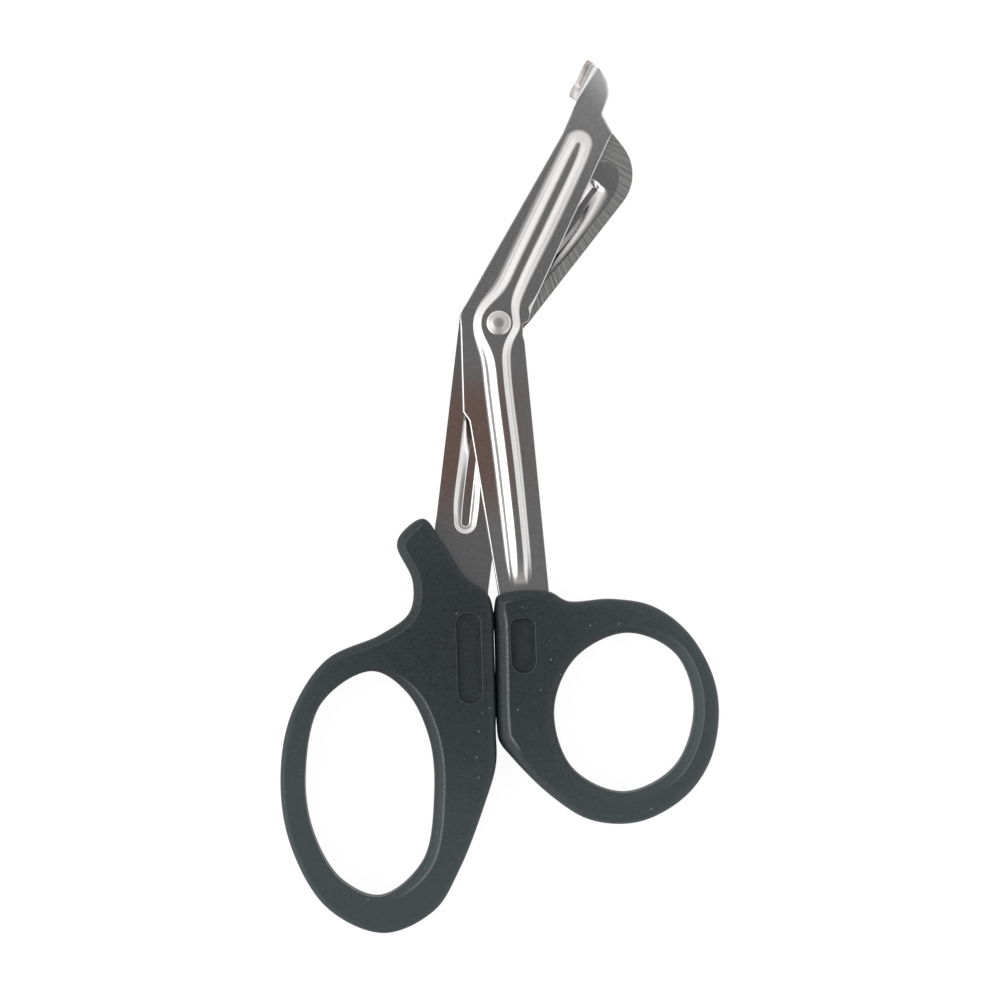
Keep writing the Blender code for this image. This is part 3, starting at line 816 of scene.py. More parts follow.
COVERED_GROOVE_LEFT = heights(
    (0, 0), (0.05, 10), (0.12, 20), (0.2, 24), (0.28, 30), (0.4, 34), (0.9, 34), (0.97, 30), (1, 0),
)
COVERED_GROOVE_RIGHT = heights(
    (0, 1), (0.08, 7), (0.145, 9), (0.21, 12.5), (0.276, 16.5), (0.34, 20.5), (0.41, 24), (0.47, 28),
    (0.54, 34), (0.6, 38), (0.67, 40), (0.8, 40), (0.9, 38), (0.96, 34), (0.985, 18), (1, 0),
)
OPEN_GROOVE_LEFT = heights(
    (0, 0), (0.07, 12), (0.14, 28), (0.26, 37), (0.38, 34), (0.46, 20), (0.56, 13), (0.68, 10), (0.8, 8.5),
    (0.88, 8.5), (0.92, 24), (0.97, 34), (1, 0),
)
OPEN_GROOVE_RIGHT = heights(
    (0, 0), (0.1, 14), (0.18, 30), (0.3, 42), (0.45, 42), (0.52, 30), (0.6, 18), (0.7, 14), (0.82, 13),
    (0.9, 16), (0.94, 40), (0.98, 40), (1, 0),
)


def fade(value, start, end, low=0.0, high=1.0):
    """low where value is at start, high where it is at end, and a smooth step between them."""
    share = min(1.0, max(0.0, (value - start) / (end - start)))
    return low + (high - low) * share * share * (3 - 2 * share)


def bead_spokes(bead, first_end=1.0):
    """Spokes (centre, outward, foot, top, rightness, press) all round a bead, clockwise from its first knot.

    first_end is how far the foot goes out round the first end, as a share of its distance on the sides.
    """
    line = smooth_line(bead, BEAD_SPACING, closed=False)
    sides = {1: [], -1: []}
    for index, knot in enumerate(line):
        centre = Vector(knot[:2])
        after = Vector(line[min(index + 1, len(line) - 1)][:2])
        before = Vector(line[max(index - 1, 0)][:2])
        along = (after - before).normalized()
        boss = math.exp(-((centre.length / BOSS_SPREAD) ** 2))
        for side, row in sides.items():
            foot, top = knot[2:4] if side == -1 else knot[4:6]
            foot += (BOSS_FOOT - foot) * boss
            top += (BOSS_TOP_HALF - top) * boss
            row.append((centre, Vector((-along.y, along.x)) * side, foot, top, (side + 1) / 2, knot[6]))
    spokes = []
    for side in (1, -1):
        row = sides[side][::side]
        spokes += row
        centre, start, foot, top, rightness, press = row[-1]
        _, end, other_foot, other_top, other_rightness, _ = sides[-side][::-side][0]
        reach = first_end if side == -1 else 1.0
        for step in range(1, END_STEPS):
            share = step / END_STEPS
            angle = math.pi * share * (1 if start.cross(centre - row[-2][0]) > 0 else -1)
            spokes.append(
                (
                    centre,
                    Matrix.Rotation(angle, 2) @ start,
                    (foot + (other_foot - foot) * share) * (1 - (1 - reach) * math.sin(math.pi * share) ** 2),
                    top + (other_top - top) * share,
                    rightness + (other_rightness - rightness) * share,
                    press,
                )
            )
    return spokes


def slope_rings(spokes, level, lift, tables, change):
    """Rows of places from the bead's foot to its top.

    tables are left and right in the blade, then left and right in the shank, and change says between which
    two heights in the picture the blade's tables give way to the shank's.
    """
    rows = [[Vector((*(centre + out * (foot + FLAT_MARGIN)), level)) for centre, out, foot, *_ in spokes]]
    for row in range(SLOPE_ROWS + 1):
        share = row / SLOPE_ROWS
        places = []
        for centre, out, foot, top, rightness, press in spokes:
            place = centre + out * (foot + (top - foot) * share)
            shank = fade(centre.y, *change)
            left = tables[0][row] * (1 - shank) + tables[2][row] * shank
            right = tables[1][row] * (1 - shank) + tables[3][row] * shank
            height = left * (1 - rightness) + right * rightness
            places.append(Vector((*place, level + lift * BEAD_RISE * press * height)))
        rows.append(places)
    inside = [centre + out * max(top - FLAT_MARGIN, top / 2) for centre, out, _, top, _, _ in spokes]
    rows.append([Vector((*place, above.z)) for place, above in zip(inside, rows[-1])])
    return rows


half_way = sum(height < 0.5 for height in BLADE_LEFT)
print("a slope has", SLOPE_ROWS, "rows, and half its height is reached at row", half_way)

# %% [markdown]
# ## The rim of the sheet
#
# The die draws the sheet's edge down where it enters and leaves it crisp where it breaks out, and the cutting
# edge is ground afterwards. So each point of the outline has its own profile from the wall to the flat face:
# part of an ellipse, a ground bevel, or nothing where the shoe is folded up. A last row just inside keeps the
# flat face flat up to the rim.

# %% Define rim profiles
RIM_STEPS = 6
BORE_STEPS = 64
LAND_SPACING = 0.5


def drawn_profile(width, drop, level, up):
    """(inset, z) rows of a quarter ellipse from the wall to the flat face at level; up is 1 or -1."""
    rows = []
    for step in range(RIM_STEPS + 1):
        angle = math.pi / 2 * step / RIM_STEPS
        rows.append((width * (1 - math.cos(angle)), level - up * drop * (1 - math.sin(angle))))
    return [*rows, (width + FLAT_MARGIN, level)]


def ground_profile(width, drop, level, up):
    """(inset, z) rows of a ground bevel, or of a plain corner if width and drop are 0."""
    rows = []
    for step in range(RIM_STEPS + 1):
        share = step / RIM_STEPS
        rows.append((width * share, level - up * drop * (1 - share)))
    return [*rows, (width + FLAT_MARGIN, level)]


def rim_rings(bm, outline, front, back):
    """Grows a sheet's rim from the front flat round to the rear one; gives both flat rings."""
    normals = outward_normals(outline)
    profiles = [list(reversed(f)) + b for f, b in zip(front, back)]
    ring = None
    for row in range(len(profiles[0])):
        places = []
        for point, normal, profile in zip(outline, normals, profiles):
            inset, z = profile[row]
            place = point - normal * inset
            places.append(Vector((place.x, place.y, z)))
        if ring is None:
            ring = first = new_ring(bm, places)
        else:
            ring = grow_ring(bm, ring, places)
    return first, ring


def land_edges(bm, rim, land, level):
    """Edges round the ground land and round the rest: the rim is split, and the land's border joins it."""
    *ends, knots = land
    places = [vert.co.xy for vert in rim]
    start, end = (min(range(len(rim)), key=lambda at: (places[at] - Vector(place)).length) for place in ends)
    turned = rim[start:] + rim[:start]
    length = (end - start) % len(rim)
    line = smooth_line([turned[length].co.xy, *knots, turned[0].co.xy], LAND_SPACING, closed=False)
    chain = [turned[length], *(bm.verts.new(place) for place in at_level(line[1:-1], level)), turned[0]]
    border = [bm.edges.new(pair) for pair in zip(chain, chain[1:])]
    rims = ring_edges(bm, turned)
    return rims[:length] + border, rims[length:] + border


def pressed_face(bm, rim, spokes, tables, change, level, lift, land=None):
    """Closes one face of a blade round its bead; gives the ring of the rivet's bore."""
    rows = slope_rings(spokes, level, lift, tables, change)
    ring = outer = new_ring(bm, rows[0])
    for places in rows[1:]:
        ring = grow_ring(bm, ring, places)
    rest = ring_edges(bm, rim)
    if land:
        ground, rest = land_edges(bm, rim, land, level)
        fill_flat(bm, ground, finish=1)
    fill_flat(bm, rest + ring_edges(bm, outer))
    spoke = Vector((BORE_RADIUS, 0))
    circle = [Matrix.Rotation(math.tau * step / BORE_STEPS, 2) @ spoke for step in range(BORE_STEPS)]
    bore = new_ring(bm, at_level(circle, level + lift * BEAD_RISE))
    fill_flat(bm, ring_edges(bm, ring) + ring_edges(bm, bore))
    return bore


print("a rim profile has", RIM_STEPS + 1, "rows")

# %% [markdown]
# ## The thumb blade
#
# The front blade. Its outline runs clockwise from the lower end of the shoe's fold. The cutting edge, from
# the point down to the heel, has a narrow ground bevel that widens at the heel, where the wheel left it. The
# little step on the left of the shank stops the finger blade.

# %% Draw the thumb blade's outline
FOLD_LOW = (12.45, 35.45)
FOLD_HIGH = (16.1, 40.75)
THUMB_POINT = (18.15, 30.5)
THUMB_HEEL = (5.25, 2.35)
FOLD_COLUMNS = 26
THUMB_CORNERS = [
    (*FOLD_LOW, 0),
    (*FOLD_HIGH, 0),
    (17.35, 38.9, 3.0),
    (17.65, 36.5, 3.0),
    (16.5, 33.5, 0.8),
    (*THUMB_POINT, 0.28),
    (*THUMB_HEEL, 0.3),
    (4.75, 0.35, 0.3),
    (3.85, -0.05, 0.3),
    (3.85, -1.9, 0.8),
    (4.15, -3.1, 1.5),
    (8.3, -45.5, 1.0),
    (6.7, -58.5, 1.2),
    (3.0, -58.5, 1.2),
    (0.18, -45.0, 1.0),
    (-4.75, -15.65, 0.7),
    (-5.75, -14.2, 0.4),
    (-6.2, 1.5, 3.5),
    (10.2, 30.4, 9.0),
    (12.0, 34.6, 0.6),
]
THUMB_BEAD = [
    (12.75, 28.6, 2.45, 0.05, 2.3, 0.05, 1.0),
    (12.1, 27.1, 2.5, 0.22, 2.4, 0.3, 1.0),
    (7.4, 17.3, 2.7, 0.2, 2.66, 0.4, 0.98),
    (2.5, 6.9, 2.75, 0.25, 2.4, 0.38, 1.0),
    (-0.3, 0.0, 2.9, 0.3, 2.2, 0.4, 1.0),
    (0.15, -8.0, 2.85, 0.35, 1.93, 0.4, 1.0),
    (1.9, -22.5, 2.8, 0.35, 1.87, 0.4, 1.0),
    (3.25, -35.2, 2.6, 0.35, 1.75, 0.38, 0.98),
    (3.52, -38.2, 2.5, 0.42, 1.75, 0.33, 0.78),
    (3.68, -40.1, 2.35, 0.5, 1.72, 0.2, 0.47),
    (3.82, -41.9, 2.1, 0.8, 1.6, 0.3, 0.04),
]
BEVEL_WIDTH = 0.17
HEEL_BEVEL_WIDTH = 0.5
HEEL_BEVEL_LENGTH = 2.4
BEVEL_DROP = 0.22
HEEL_DROP_GAIN = 1.8
BEVEL_END_LEAST = 0.3
BEVEL_END_GAP = 0.1
BEVEL_END_LENGTH = 1.2
DRAWN_RIM = (0.3, 0.3)
CRISP_RIM = (0.07, 0.06)
EDGE_REACH = 0.05
TOLERANCE = 0.001


def with_fold_columns(outline):
    """The outline with its first edge, the fold, divided into equal columns."""
    low = Vector(FOLD_LOW)
    high = Vector(FOLD_HIGH)
    fold = (high - low).length + TOLERANCE
    rest = [point for point in outline if (point - low).length + (high - point).length > fold]
    columns = [low.lerp(high, column / FOLD_COLUMNS) for column in range(FOLD_COLUMNS + 1)]
    return columns + rest


def along_edge(point, start, end):
    """How far a point is along the edge from start to end in millimetres, or None if it isn't on it."""
    start = Vector(start)
    way = Vector(end) - start
    along = (point - start).dot(way.normalized())
    off = abs((point - start).cross(way.normalized()))
    return along if off < EDGE_REACH and -EDGE_REACH < along < way.length + EDGE_REACH else None


thumb_outline = with_fold_columns(filleted(THUMB_CORNERS))
print("thumb outline has", len(thumb_outline), "points")

# %% [markdown]
# The shoe is the blunt guard that slides along the skin under a bandage. It is the end of the sheet, folded
# up until it almost stands, over a radius that grows towards the point, and its lower corner leans out as a
# rounded ear. Extruding the wall's faces and turning them a little each time, about the bend's axis, folds
# them just as a press brake does, and keeps the sheet's thickness.

# %% Define the fold
SHOE_ANGLE = math.radians(80)
SHOE_BEND_RADII = (0.3, 1.15)
SHOE_BEND_STEPS = 16
EAR_LEAN = math.radians(30)
EAR_ENDS = (0.16, 0.34)
SHOE_WIDTH = 1.27
SHOE_CORNER = 1.2
SHOE_ROUNDNESS = 3
SHOE_FULL_SHARE = 0.98
SHOE_EDGE_ROUND = 0.12
SQUARE_EDGE = 1.0


def pull_faces(bm, faces):
    """Extrudes faces in place; gives the new vertices and faces."""
    made = bmesh.ops.extrude_face_region(bm, geom=faces)["geom"]
    verts = [item for item in made if isinstance(item, bmesh.types.BMVert)]
    fresh = [item for item in made if isinstance(item, bmesh.types.BMFace)]
    stale = [face for face in faces if face.is_valid]
    if stale:
        bmesh.ops.delete(bm, geom=stale, context="FACES")
    return verts, fresh


def shoe_shape(share):
    """How far the sheet is turned and over what radius, at a share of the fold's length from its low end."""
    turn = fade(share, *EAR_ENDS, SHOE_ANGLE - EAR_LEAN, SHOE_ANGLE)
    return turn, fade(share, 0, 1, *SHOE_BEND_RADII)


def fold_shoe(bm):
    """Folds the sheet up along the fold line and rounds the free corners of the flange."""
    low = Vector((*FOLD_LOW, THUMB_FACE))
    high = Vector((*FOLD_HIGH, THUMB_FACE))
    along = (high - low).normalized()
    outward = Vector((-along.y, along.x, 0))
    faces = [
        face
        for face in bm.faces
        if all(abs((vert.co - low).dot(outward)) < TOLERANCE for vert in face.verts)
        and 0 < (face.calc_center_median() - low).dot(along) < (high - low).length
    ]
    flange = set()
    for _ in range(SHOE_BEND_STEPS):
        verts, faces = pull_faces(bm, faces)
        for vert in verts:
            turn, radius = shoe_shape((vert.co - low).dot(along) / (high - low).length)
            centre = low + Vector((0, 0, radius))
            vert.co = centre + Matrix.Rotation(turn / SHOE_BEND_STEPS, 3, along) @ (vert.co - centre)
    for width, rounded in ((SHOE_WIDTH - SHOE_CORNER, False), (SHOE_CORNER, True)):
        verts, faces = pull_faces(bm, faces)
        flange.update(verts)
        for vert in verts:
            share = (vert.co - low).dot(along) / (high - low).length
            turn, _ = shoe_shape(share)
            rise = outward * math.cos(turn) + Vector((0, 0, math.sin(turn)))
            fall = (SHOE_FULL_SHARE * abs(2 * share - 1)) ** SHOE_ROUNDNESS if rounded else 0
            vert.co += rise * width * (1 - fall) ** (1 / SHOE_ROUNDNESS)
    for face in faces:
        face.material_index = 2
    bmesh.ops.recalc_face_normals(bm, faces=bm.faces)
    rims = [
        edge
        for edge in bm.edges
        if flange.issuperset(edge.verts)
        and len(edge.link_faces) == 2
        and edge.calc_face_angle(0) > SQUARE_EDGE
    ]
    bmesh.ops.bevel(
        bm,
        geom=rims,
        offset=SHOE_EDGE_ROUND,
        offset_type="OFFSET",
        segments=3,
        profile=0.5,
        affect="EDGES",
        clamp_overlap=True,
        material=-1,
    )
    return len(rims)


print("the shoe stands up by", round(math.degrees(SHOE_ANGLE)), "degrees")

# %% [markdown]
# The blade's inner face carries the ground land, along the cutting edge and over the point. The rest of the
# sheet is a little dished, so that the wheel doesn't touch it.

# %% Make the thumb blade
THUMB_LAND = (
    (10.9, 31.9),
    (5.87, 3.71),
    [(6.0, 6.4), (10.6, 16.4), (15.3, 26.5), (16.3, 29.1), (15.6, 31.4), (13.4, 32.2)],
)


def thumb_rim_size(point):
    """How far in and down the die drew the front blade's edge: most along the shank's left side."""
    if point.x > 3 and -3 < point.y < 5:
        return CRISP_RIM
    tip = fade(point.y, 33.5, 36.5) * fade(point.x, 16, 16.8)
    left = fade(point.y, 1.5, -0.5) * fade(point.x + point.y * 0.09, 1, 0.5)
    blade_left = fade(point.y, 2, 5) * fade(point.y, 35, 33)
    width = 0.07 + 0.2 * left + 0.4 * blade_left + 0.5 * tip
    drop = 0.06 + 0.24 * left + 0.01 * blade_left + 0.02 * tip
    return width, drop


def make_thumb_blade():
    bm = bmesh.new()
    front = []
    back = []
    for index, point in enumerate(thumb_outline):
        along = along_edge(point, THUMB_HEEL, THUMB_POINT)
        if index <= FOLD_COLUMNS:
            front.append(ground_profile(0, 0, THUMB_FACE, 1))
            back.append(ground_profile(0, 0, THUMB_BACK, -1))
        elif along is not None:
            widening = max(0.0, 1 - along / HEEL_BEVEL_LENGTH)
            to_point = (Vector(THUMB_POINT) - point).length - BEVEL_END_GAP
            ending = min(1.0, max(BEVEL_END_LEAST, to_point / BEVEL_END_LENGTH))
            width = (BEVEL_WIDTH + (HEEL_BEVEL_WIDTH - BEVEL_WIDTH) * widening) * ending
            drop = BEVEL_DROP * (1 + HEEL_DROP_GAIN * widening) * ending
            front.append(ground_profile(width, drop, THUMB_FACE, 1))
            back.append(ground_profile(0, 0, THUMB_BACK, -1))
        else:
            front.append(drawn_profile(*thumb_rim_size(point), THUMB_FACE, 1))
            back.append(drawn_profile(*CRISP_RIM, THUMB_BACK, -1))
    front_rim, back_rim = rim_rings(bm, thumb_outline, front, back)
    spokes = bead_spokes(THUMB_BEAD)
    bulge = (BLADE_LEFT, BLADE_RIGHT, SHANK_LEFT, SHANK_RIGHT)
    groove = (OPEN_GROOVE_LEFT, OPEN_GROOVE_LEFT, OPEN_GROOVE_LEFT, OPEN_GROOVE_RIGHT)
    front_bore = pressed_face(bm, front_rim, spokes, bulge, SHANK_CHANGE, THUMB_FACE, 1)
    back_bore = pressed_face(bm, back_rim, spokes, groove, SHANK_CHANGE, THUMB_BACK, 1, THUMB_LAND)
    bmesh.ops.bridge_loops(bm, edges=ring_edges(bm, front_bore) + ring_edges(bm, back_bore))
    bmesh.ops.remove_doubles(bm, verts=bm.verts, dist=MERGE_DISTANCE)
    print("flange rims rounded:", fold_shoe(bm))
    return finished_piece("thumb_blade_sheet", bm, [steel, thumb_land, sheared_edge])


thumb_blade = make_thumb_blade()
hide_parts("thumb_blade")
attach(thumb_blade, "thumb_half")

# %% [markdown]
# ## The finger blade
#
# The rear blade is the same kind of stamping with its bead pressed the other way, so that the front shows the
# groove. Its inner face is the one that shows, with the land ground round its nose and both its edges. The
# groove's upper end is blunt, so its foot is drawn in there.

# %% Make the finger blade
FINGER_HEEL = (-6.25, 1.5)
FINGER_POINT = (18.15, 30.6)
FINGER_CORNERS = [
    (*FINGER_HEEL, 0.8),
    (*FINGER_POINT, 0.3),
    (23.42, 23.92, 7.2),
    (4.89, 0.2, 0.5),
    (3.85, -0.9, 1.0),
    (-1.65, -42.6, 1.0),
    (-3.0, -58.5, 1.2),
    (-8.3, -58.5, 1.2),
    (-11.2, -41.0, 1.0),
]
FINGER_BEAD = [
    (15.5, 21.3, 2.55, 0.62, 2.6, 0.15, 0.85),
    (14.2, 19.6, 2.6, 0.66, 2.75, 0.2, 1.2),
    (12.13, 16.61, 2.6, 0.66, 2.6, 0.35, 1.42),
    (9.73, 13.51, 2.6, 0.6, 2.58, 0.42, 1.42),
    (3.4, 6.1, 2.5, 0.4, 2.6, 0.4, 1.0),
    (-0.3, 0.0, 2.3, 0.5, 2.2, 0.5, 1.0),
    (-2.3, -7.0, 2.1, 0.6, 1.7, 0.6, 1.0),
    (-3.7, -17.5, 2.3, 0.5, 1.6, 0.5, 1.1),
    (-4.3, -22.0, 2.2, 0.6, 1.6, 0.6, 0.9),
    (-5.1, -29.1, 2.25, 0.64, 2.05, 0.64, 0.75),
    (-5.35, -31.9, 1.9, 0.6, 1.9, 0.6, 0.75),
]
FINGER_BEAD_END = 0.52
FINGER_LAND = (
    (-4.96, 3.03),
    (5.14, 0.65),
    [
        (5.7, 3.5), (7.4, 6.65), (11.9, 12.2), (16.3, 17.55), (18.05, 19.9), (19.05, 22.0), (19.25, 24.0),
        (18.8, 25.0), (18.0, 25.65), (16.4, 25.8), (14.9, 25.0), (9.99, 19.2), (3.59, 11.5), (-2.84, 3.85),
    ],
)


def make_finger_blade():
    bm = bmesh.new()
    outline = filleted(FINGER_CORNERS)
    front = []
    back = []
    for point in outline:
        if along_edge(point, FINGER_HEEL, FINGER_POINT) is None:
            front.append(drawn_profile(*CRISP_RIM, FINGER_FACE, 1))
            back.append(drawn_profile(*DRAWN_RIM, FINGER_BACK, -1))
        else:
            front.append(ground_profile(0, 0, FINGER_FACE, 1))
            back.append(ground_profile(BEVEL_WIDTH, BEVEL_DROP, FINGER_BACK, -1))
    front_rim, back_rim = rim_rings(bm, outline, front, back)
    spokes = bead_spokes(FINGER_BEAD, FINGER_BEAD_END)
    groove = (COVERED_GROOVE_LEFT, COVERED_GROOVE_RIGHT, OPEN_GROOVE_LEFT, OPEN_GROOVE_RIGHT)
    front_bore = pressed_face(bm, front_rim, spokes, groove, UNCOVERED, FINGER_FACE, -1, FINGER_LAND)
    bulge = (BLADE_RIGHT, BLADE_LEFT, SHANK_RIGHT, SHANK_RIGHT)
    spokes = bead_spokes([(*knot[:6], 1.0) for knot in FINGER_BEAD])
    back_bore = pressed_face(bm, back_rim, spokes, bulge, SHANK_CHANGE, FINGER_BACK, -1)
    bmesh.ops.bridge_loops(bm, edges=ring_edges(bm, front_bore) + ring_edges(bm, back_bore))
    return finished_piece("finger_blade_sheet", bm, [shaded_rear_steel, finger_land])


finger_blade = make_finger_blade()
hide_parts("finger_blade")
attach(finger_blade, "finger_half")

# %% [markdown]
# ## The rivet and its washer
#
# Both are turned shapes: half a profile, spun round the pivot's axis. The head is a low dome with a rolled
# rim that is undercut where it meets the boss, and the tail is peened over the washer, a little hollow where
# the tool struck it.

# %% Make the rivet and the washer
SPIN_STEPS = 96
ROLL_STEPS = 6
ROLL_ANGLE = math.radians(70)


def turned_piece(name, profile, finish):
    """Spins (radius, z) points in millimetres round the pivot; both ends lie on the axis, or it's a ring."""
    bm = bmesh.new()
    verts = [bm.verts.new((radius, 0, z)) for radius, z in profile]
    edges = [bm.edges.new(pair) for pair in zip(verts, verts[1:])]
    if profile[0][0] > 0:
        edges.append(bm.edges.new((verts[-1], verts[0])))
    bmesh.ops.spin(
        bm,
        geom=edges,
        cent=(0, 0, 0),
        axis=(0, 0, 1),
        angle=math.tau,
        steps=SPIN_STEPS,
        use_merge=True,
        use_duplicate=False,
    )
    return finished_piece(name, bm, [finish])


def head_profile(radius, base, rim, steepness):
    """(radius, z) points of a low head: a rolled rim, then slopes in degrees to the middle."""
    points = []
    for step in range(ROLL_STEPS + 1):
        angle = ROLL_ANGLE * step / ROLL_STEPS
        points.append((radius - rim + rim * math.cos(angle), base + rim * math.sin(angle)))
    across, height = points[-1]
    width = across / len(steepness)
    for slope in steepness:
        across -= width
        height += width * math.tan(math.radians(slope))
        points.append((max(0.0, across), height))
    return points


_, rivet_high = (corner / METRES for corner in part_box("pivot_rivet"))
washer_low, washer_high = (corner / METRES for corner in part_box("pivot_washer"))
HEAD_RADIUS = rivet_high.x
SHANK_RADIUS = 1.57
BOSS_TOP = THUMB_FACE + BEAD_RISE
TAIL_RADIUS = 1.9
HEAD_SIDE = 0.72
HEAD_RIM = 0.17
WASHER_BORE = 1.6
HEAD_SLOPES = (17, 14, 14, 14, 14.5, 14.5, 13, 11, 8.5, 6, 5, 6, 4, 1)

head_base = BOSS_TOP + 0.05
tail_top = washer_low.z - 0.02
rivet_profile = [
    (0, 0.05), (0.9, 0.04), (1.35, 0), (1.6, 0.02), (1.82, 0.12), (TAIL_RADIUS, 0.3),
    (TAIL_RADIUS - 0.05, 0.5), (1.75, tail_top), (SHANK_RADIUS, tail_top), (SHANK_RADIUS, head_base),
    (HEAD_RADIUS - 0.14, head_base), (HEAD_RADIUS - 0.02, BOSS_TOP + 0.13), (HEAD_RADIUS, BOSS_TOP + 0.25),
    *head_profile(HEAD_RADIUS, BOSS_TOP + HEAD_SIDE, HEAD_RIM, HEAD_SLOPES),
]
head_top = rivet_profile[-1][1]
print("rivet head from", round(BOSS_TOP, 2), "to", round(head_top, 2), "and in the frame to", rivet_high.z)
rivet = turned_piece("pivot_rivet_headed", rivet_profile, rivet_steel)
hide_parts("pivot_rivet")
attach(rivet, "finger_half")

washer_radius = washer_high.x
washer_profile = [
    (WASHER_BORE, washer_low.z), (washer_radius - 0.08, washer_low.z), (washer_radius, washer_low.z + 0.08),
    (washer_radius, washer_high.z - 0.05), (washer_radius - 0.05, washer_high.z), (WASHER_BORE, washer_high.z),
]
washer = turned_piece("pivot_washer_stamped", washer_profile, rivet_steel)
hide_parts("pivot_washer")
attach(washer, "finger_half")

# %% [markdown]
# ## The handles
#
# Each handle is one moulding round a tang. Its outline and its hole come from the frame, cut at a height.
# The rims are rounded, but not all the way: the rounding meets the flat front in a crease, which the polisher
# of the mould leaves, and a thin pale line is painted along it as a highlight.
#
# Rings that move in along a wide rounding would cross themselves at tight corners. So the rings creep: many
# small steps inward, each followed by a little relaxing along the ring, like a wave front.


# %% Define the creeping rings
CREEP_STEP = 0.07
RELAXING = 0.35


def crept(points, depths, side):
    """Closed outline moved by depths; side 1 moves inwards and -1 outwards."""
    steps = max(1, math.ceil(max(depths) / CREEP_STEP))
    for _ in range(steps):
        normals = outward_normals(points)
        moved = [
            point - normal.normalized() * side * depth / steps
            for point, normal, depth in zip(points, normals, depths)
        ]
        points = []
        for index, point in enumerate(moved):
            after = moved[(index + 1) % len(moved)]
            tangent = (after - moved[index - 1]).normalized()
            middle = (after + moved[index - 1]) / 2
            points.append(point + tangent * (middle - point).dot(tangent) * RELAXING)
    return points


print("rings creep", CREEP_STEP, "mm at a time")

# %% [markdown]
# A moulded wall is described from the parting line to the front: a straight side with a fine ridge where the
# mould halves meet, the rounding, the crease with its tiny radius, and the flat. The rear is the same with a
# smaller, full rounding. The frame keeps the two handles a hair apart, while the real ones rest against each
# other, so that side is moved out until they meet.

# %% Define the moulded wall
HANDLE_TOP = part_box("finger_handle")[1].z / METRES
OUTLINE_SPACING = 0.45
CREASE_ANGLE = math.radians(70)
FULL_ROUND = math.radians(88)
FULL_CREASE = 0.4
ROUND_STEPS = 8
CREASE_WIDTH = 0.16
PARTING_RIDGE = 0.035
PARTING_REACH = 0.07
RIDGE_REACH = 0.02
REAR_RIM = 0.9
CONTACT_REACH = 0.16
RECESS_HIGHLIGHT = 0.15
ALMOST_ROUND = 0.02


def moulded_wall(bm, outline, rims, creases, side):
    """Rings of a moulded wall; gives the flat front ring and the flat rear one."""
    layer = bm.verts.layers.float[CREASE_HIGHLIGHT]
    middle = HANDLE_TOP / 2
    ends = [FULL_ROUND + (CREASE_ANGLE - FULL_ROUND) * min(1.0, crease / FULL_CREASE) for crease in creases]
    parting = front = new_ring(bm, at_level(outline, middle + PARTING_REACH))
    points = outline
    spent = [0.0] * len(outline)
    for step in range(ROUND_STEPS + 1):
        turn = step / ROUND_STEPS
        depths = [rim * (1 - math.cos(end * turn)) / (1 - math.cos(end)) for rim, end in zip(rims, ends)]
        points = crept(points, [depth - gone for depth, gone in zip(depths, spent)], side)
        spent = depths
        drops = [rim * (1 - math.sin(end * turn) / math.sin(end)) for rim, end in zip(rims, ends)]
        places = [Vector((*point, HANDLE_TOP - drop)) for point, drop in zip(points, drops)]
        front = grow_ring(bm, front, places)
    # The crease value also sets how strong the painted highlight is on this ring.
    for vert, crease in zip(front, creases):
        vert[layer] = crease
    points = crept(points, [CREASE_WIDTH] * len(points), side)
    front = grow_ring(bm, front, at_level(points, HANDLE_TOP))
    for vert in front:
        vert[layer] = 0.0
    ridge = crept(outline, [PARTING_RIDGE] * len(outline), -side)
    rear = grow_ring(bm, parting, at_level(ridge, middle + RIDGE_REACH))
    rear = grow_ring(bm, rear, at_level(ridge, middle - RIDGE_REACH))
    rear = grow_ring(bm, rear, at_level(outline, middle - PARTING_REACH))
    points = outline
    gone = 0.0
    for step in range(ROUND_STEPS + 1):
        angle = math.pi / 2 * step / ROUND_STEPS
        depth = REAR_RIM * (1 - math.cos(angle))
        points = crept(points, [depth - gone] * len(points), side)
        gone = depth
        rear = grow_ring(bm, rear, at_level(points, REAR_RIM * (1 - math.sin(angle))))
    return front, rear


def recess_rings(bm, top, bottom, width, corner, depth):
    """A moulded recess in the front; gives its mouth ring."""
    top = Vector(top)
    bottom = Vector(bottom)
    down = (bottom - top).normalized()
    across = Vector((-down.y, down.x)) * width / 2
    foot = width / 2 - ALMOST_ROUND
    ends = ((top - across, corner), (bottom - across, foot), (bottom + across, foot), (top + across, corner))
    outline = filleted([(*place, radius) for place, radius in ends])
    layer = bm.verts.layers.float[CREASE_HIGHLIGHT]
    normals = outward_normals(outline)
    lip = [(-0.16, 0.0), (-0.05, 0.02), (0.02, 0.08), (0.05, 0.2)]
    rows = [*lip, (0.16, depth - 0.16), (0.22, depth - 0.04), (0.36, depth)]
    ring = None
    for row, (inset, drop) in enumerate(rows):
        places = at_level([p - n * inset for p, n in zip(outline, normals)], HANDLE_TOP - drop)
        if ring is None:
            ring = mouth = new_ring(bm, places)
        else:
            ring = grow_ring(bm, ring, places)
        # The lip of the recess carries a faint painted highlight.
        for vert in ring:
            vert[layer] = RECESS_HIGHLIGHT if row in (1, 2) else 0.0
    fill_flat(bm, ring_edges(bm, ring))
    return mouth


def contact_reach(place):
    """How much further out than in the frame a handle's side lies where it rests against the other one."""
    return CONTACT_REACH * fade(abs(place.x), 3, 1.5) * fade(place.y, -45, -47) * fade(place.y, -67, -62)


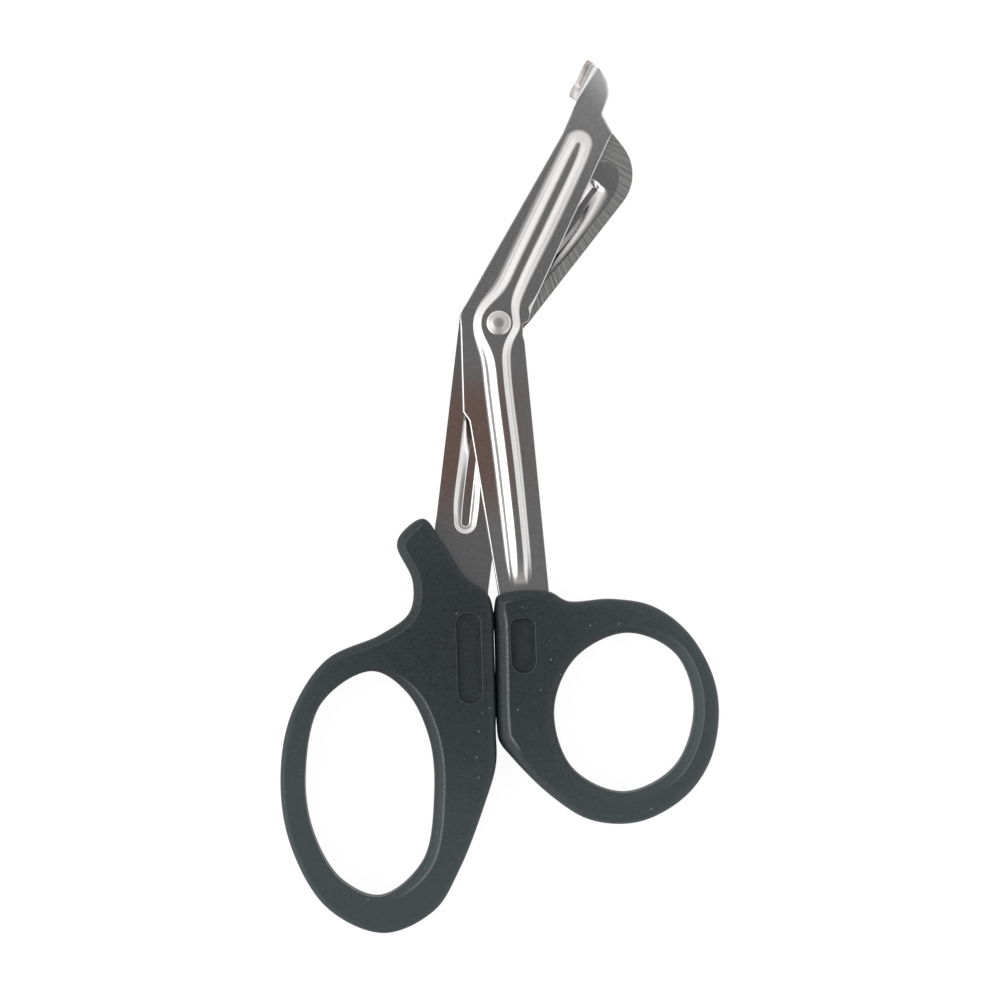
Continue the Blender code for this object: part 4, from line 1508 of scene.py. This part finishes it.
def moulded_handle(name, node, height, rim, mouth, crease, hole_crease, recess):
    """A handle whose outline and hole are cut from its CAD node at a height."""
    bm = bmesh.new()
    bm.verts.layers.float.new(CREASE_HIGHLIGHT)
    outer, hole = frame_outlines(node, height)[:2]
    fronts = []
    rears = []
    for knots, rounding, highlight_share, side in ((outer, rim, crease, 1), (hole, mouth, hole_crease, -1)):
        outline = smooth_line(knots, OUTLINE_SPACING, closed=True)
        outline = crept(outline, [contact_reach(point) for point in outline], -side)
        rims = [rounding(point) for point in outline]
        front, rear = moulded_wall(bm, outline, rims, [highlight_share(point) for point in outline], side)
        fronts += ring_edges(bm, front)
        rears += ring_edges(bm, rear)
    fill_flat(bm, fronts + ring_edges(bm, recess_rings(bm, **recess)))
    fill_flat(bm, rears)
    handle = finished_piece(name, bm, [nylon])
    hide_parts(node)
    return handle


print("handles are", round(HANDLE_TOP, 2), "mm thick")

# %% [markdown]
# The thumb handle has a round loop. Its rounding is widest on the side that meets the other handle, and the
# painted highlight on its crease is brightest there.


# %% Make the thumb handle
def thumb_rim(place):
    return fade(place.x, 0.4, 4.4, fade(place.y, -48, -44.5, 2.1, 1.6), 1.3)


def thumb_mouth(place):
    return fade(place.x, 22, 28, 1.3, 1.6)


def thumb_crease(place):
    return fade(place.x, 0.5, 2.5, fade(place.y, -48, -45, 0.8, 0.3), 0.04)


def thumb_hole_crease(place):
    return fade(place.x, 25, 29, 0.04, 0.35)


thumb_handle = moulded_handle(
    "thumb_handle_moulding",
    "thumb_handle",
    2.3,
    thumb_rim,
    thumb_mouth,
    thumb_crease,
    thumb_hole_crease,
    {"top": (3.75, -47.2), "bottom": (4.05, -55.95), "width": 3.9, "corner": 1.2, "depth": 1.0},
)
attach(thumb_handle, "thumb_half")

# %% [markdown]
# The finger handle has a long loop for two fingers. Its rounding changes as it goes round: wide where the
# fingers pull, and nearly square where its front edge crosses the blade.


# %% Make the finger handle
def finger_rim(place):
    upper = fade(place.y, -56, -48)
    left = fade(place.x, -11, -14)
    right = fade(place.x, -4, -1)
    return 0.8 + 0.3 * right + 0.55 * upper * left - 0.3 * upper * (1 - left) * (1 - right)


def finger_mouth(place):
    return fade(place.x, -21, -12, 0.65, 1.7)


def finger_crease(place):
    return 0.04 + 0.16 * fade(place.y, -56, -48) * fade(place.x, -11, -14)


def finger_hole_crease(place):
    return fade(place.x, -18, -13, 0.04, 0.6)


finger_handle = moulded_handle(
    "finger_handle_moulding",
    "finger_handle",
    4.0,
    finger_rim,
    finger_mouth,
    finger_crease,
    finger_hole_crease,
    {"top": (-4.95, -46.4), "bottom": (-4.5, -60.8), "width": 3.9, "corner": 1.8, "depth": 0.7},
)
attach(finger_handle, "finger_half")
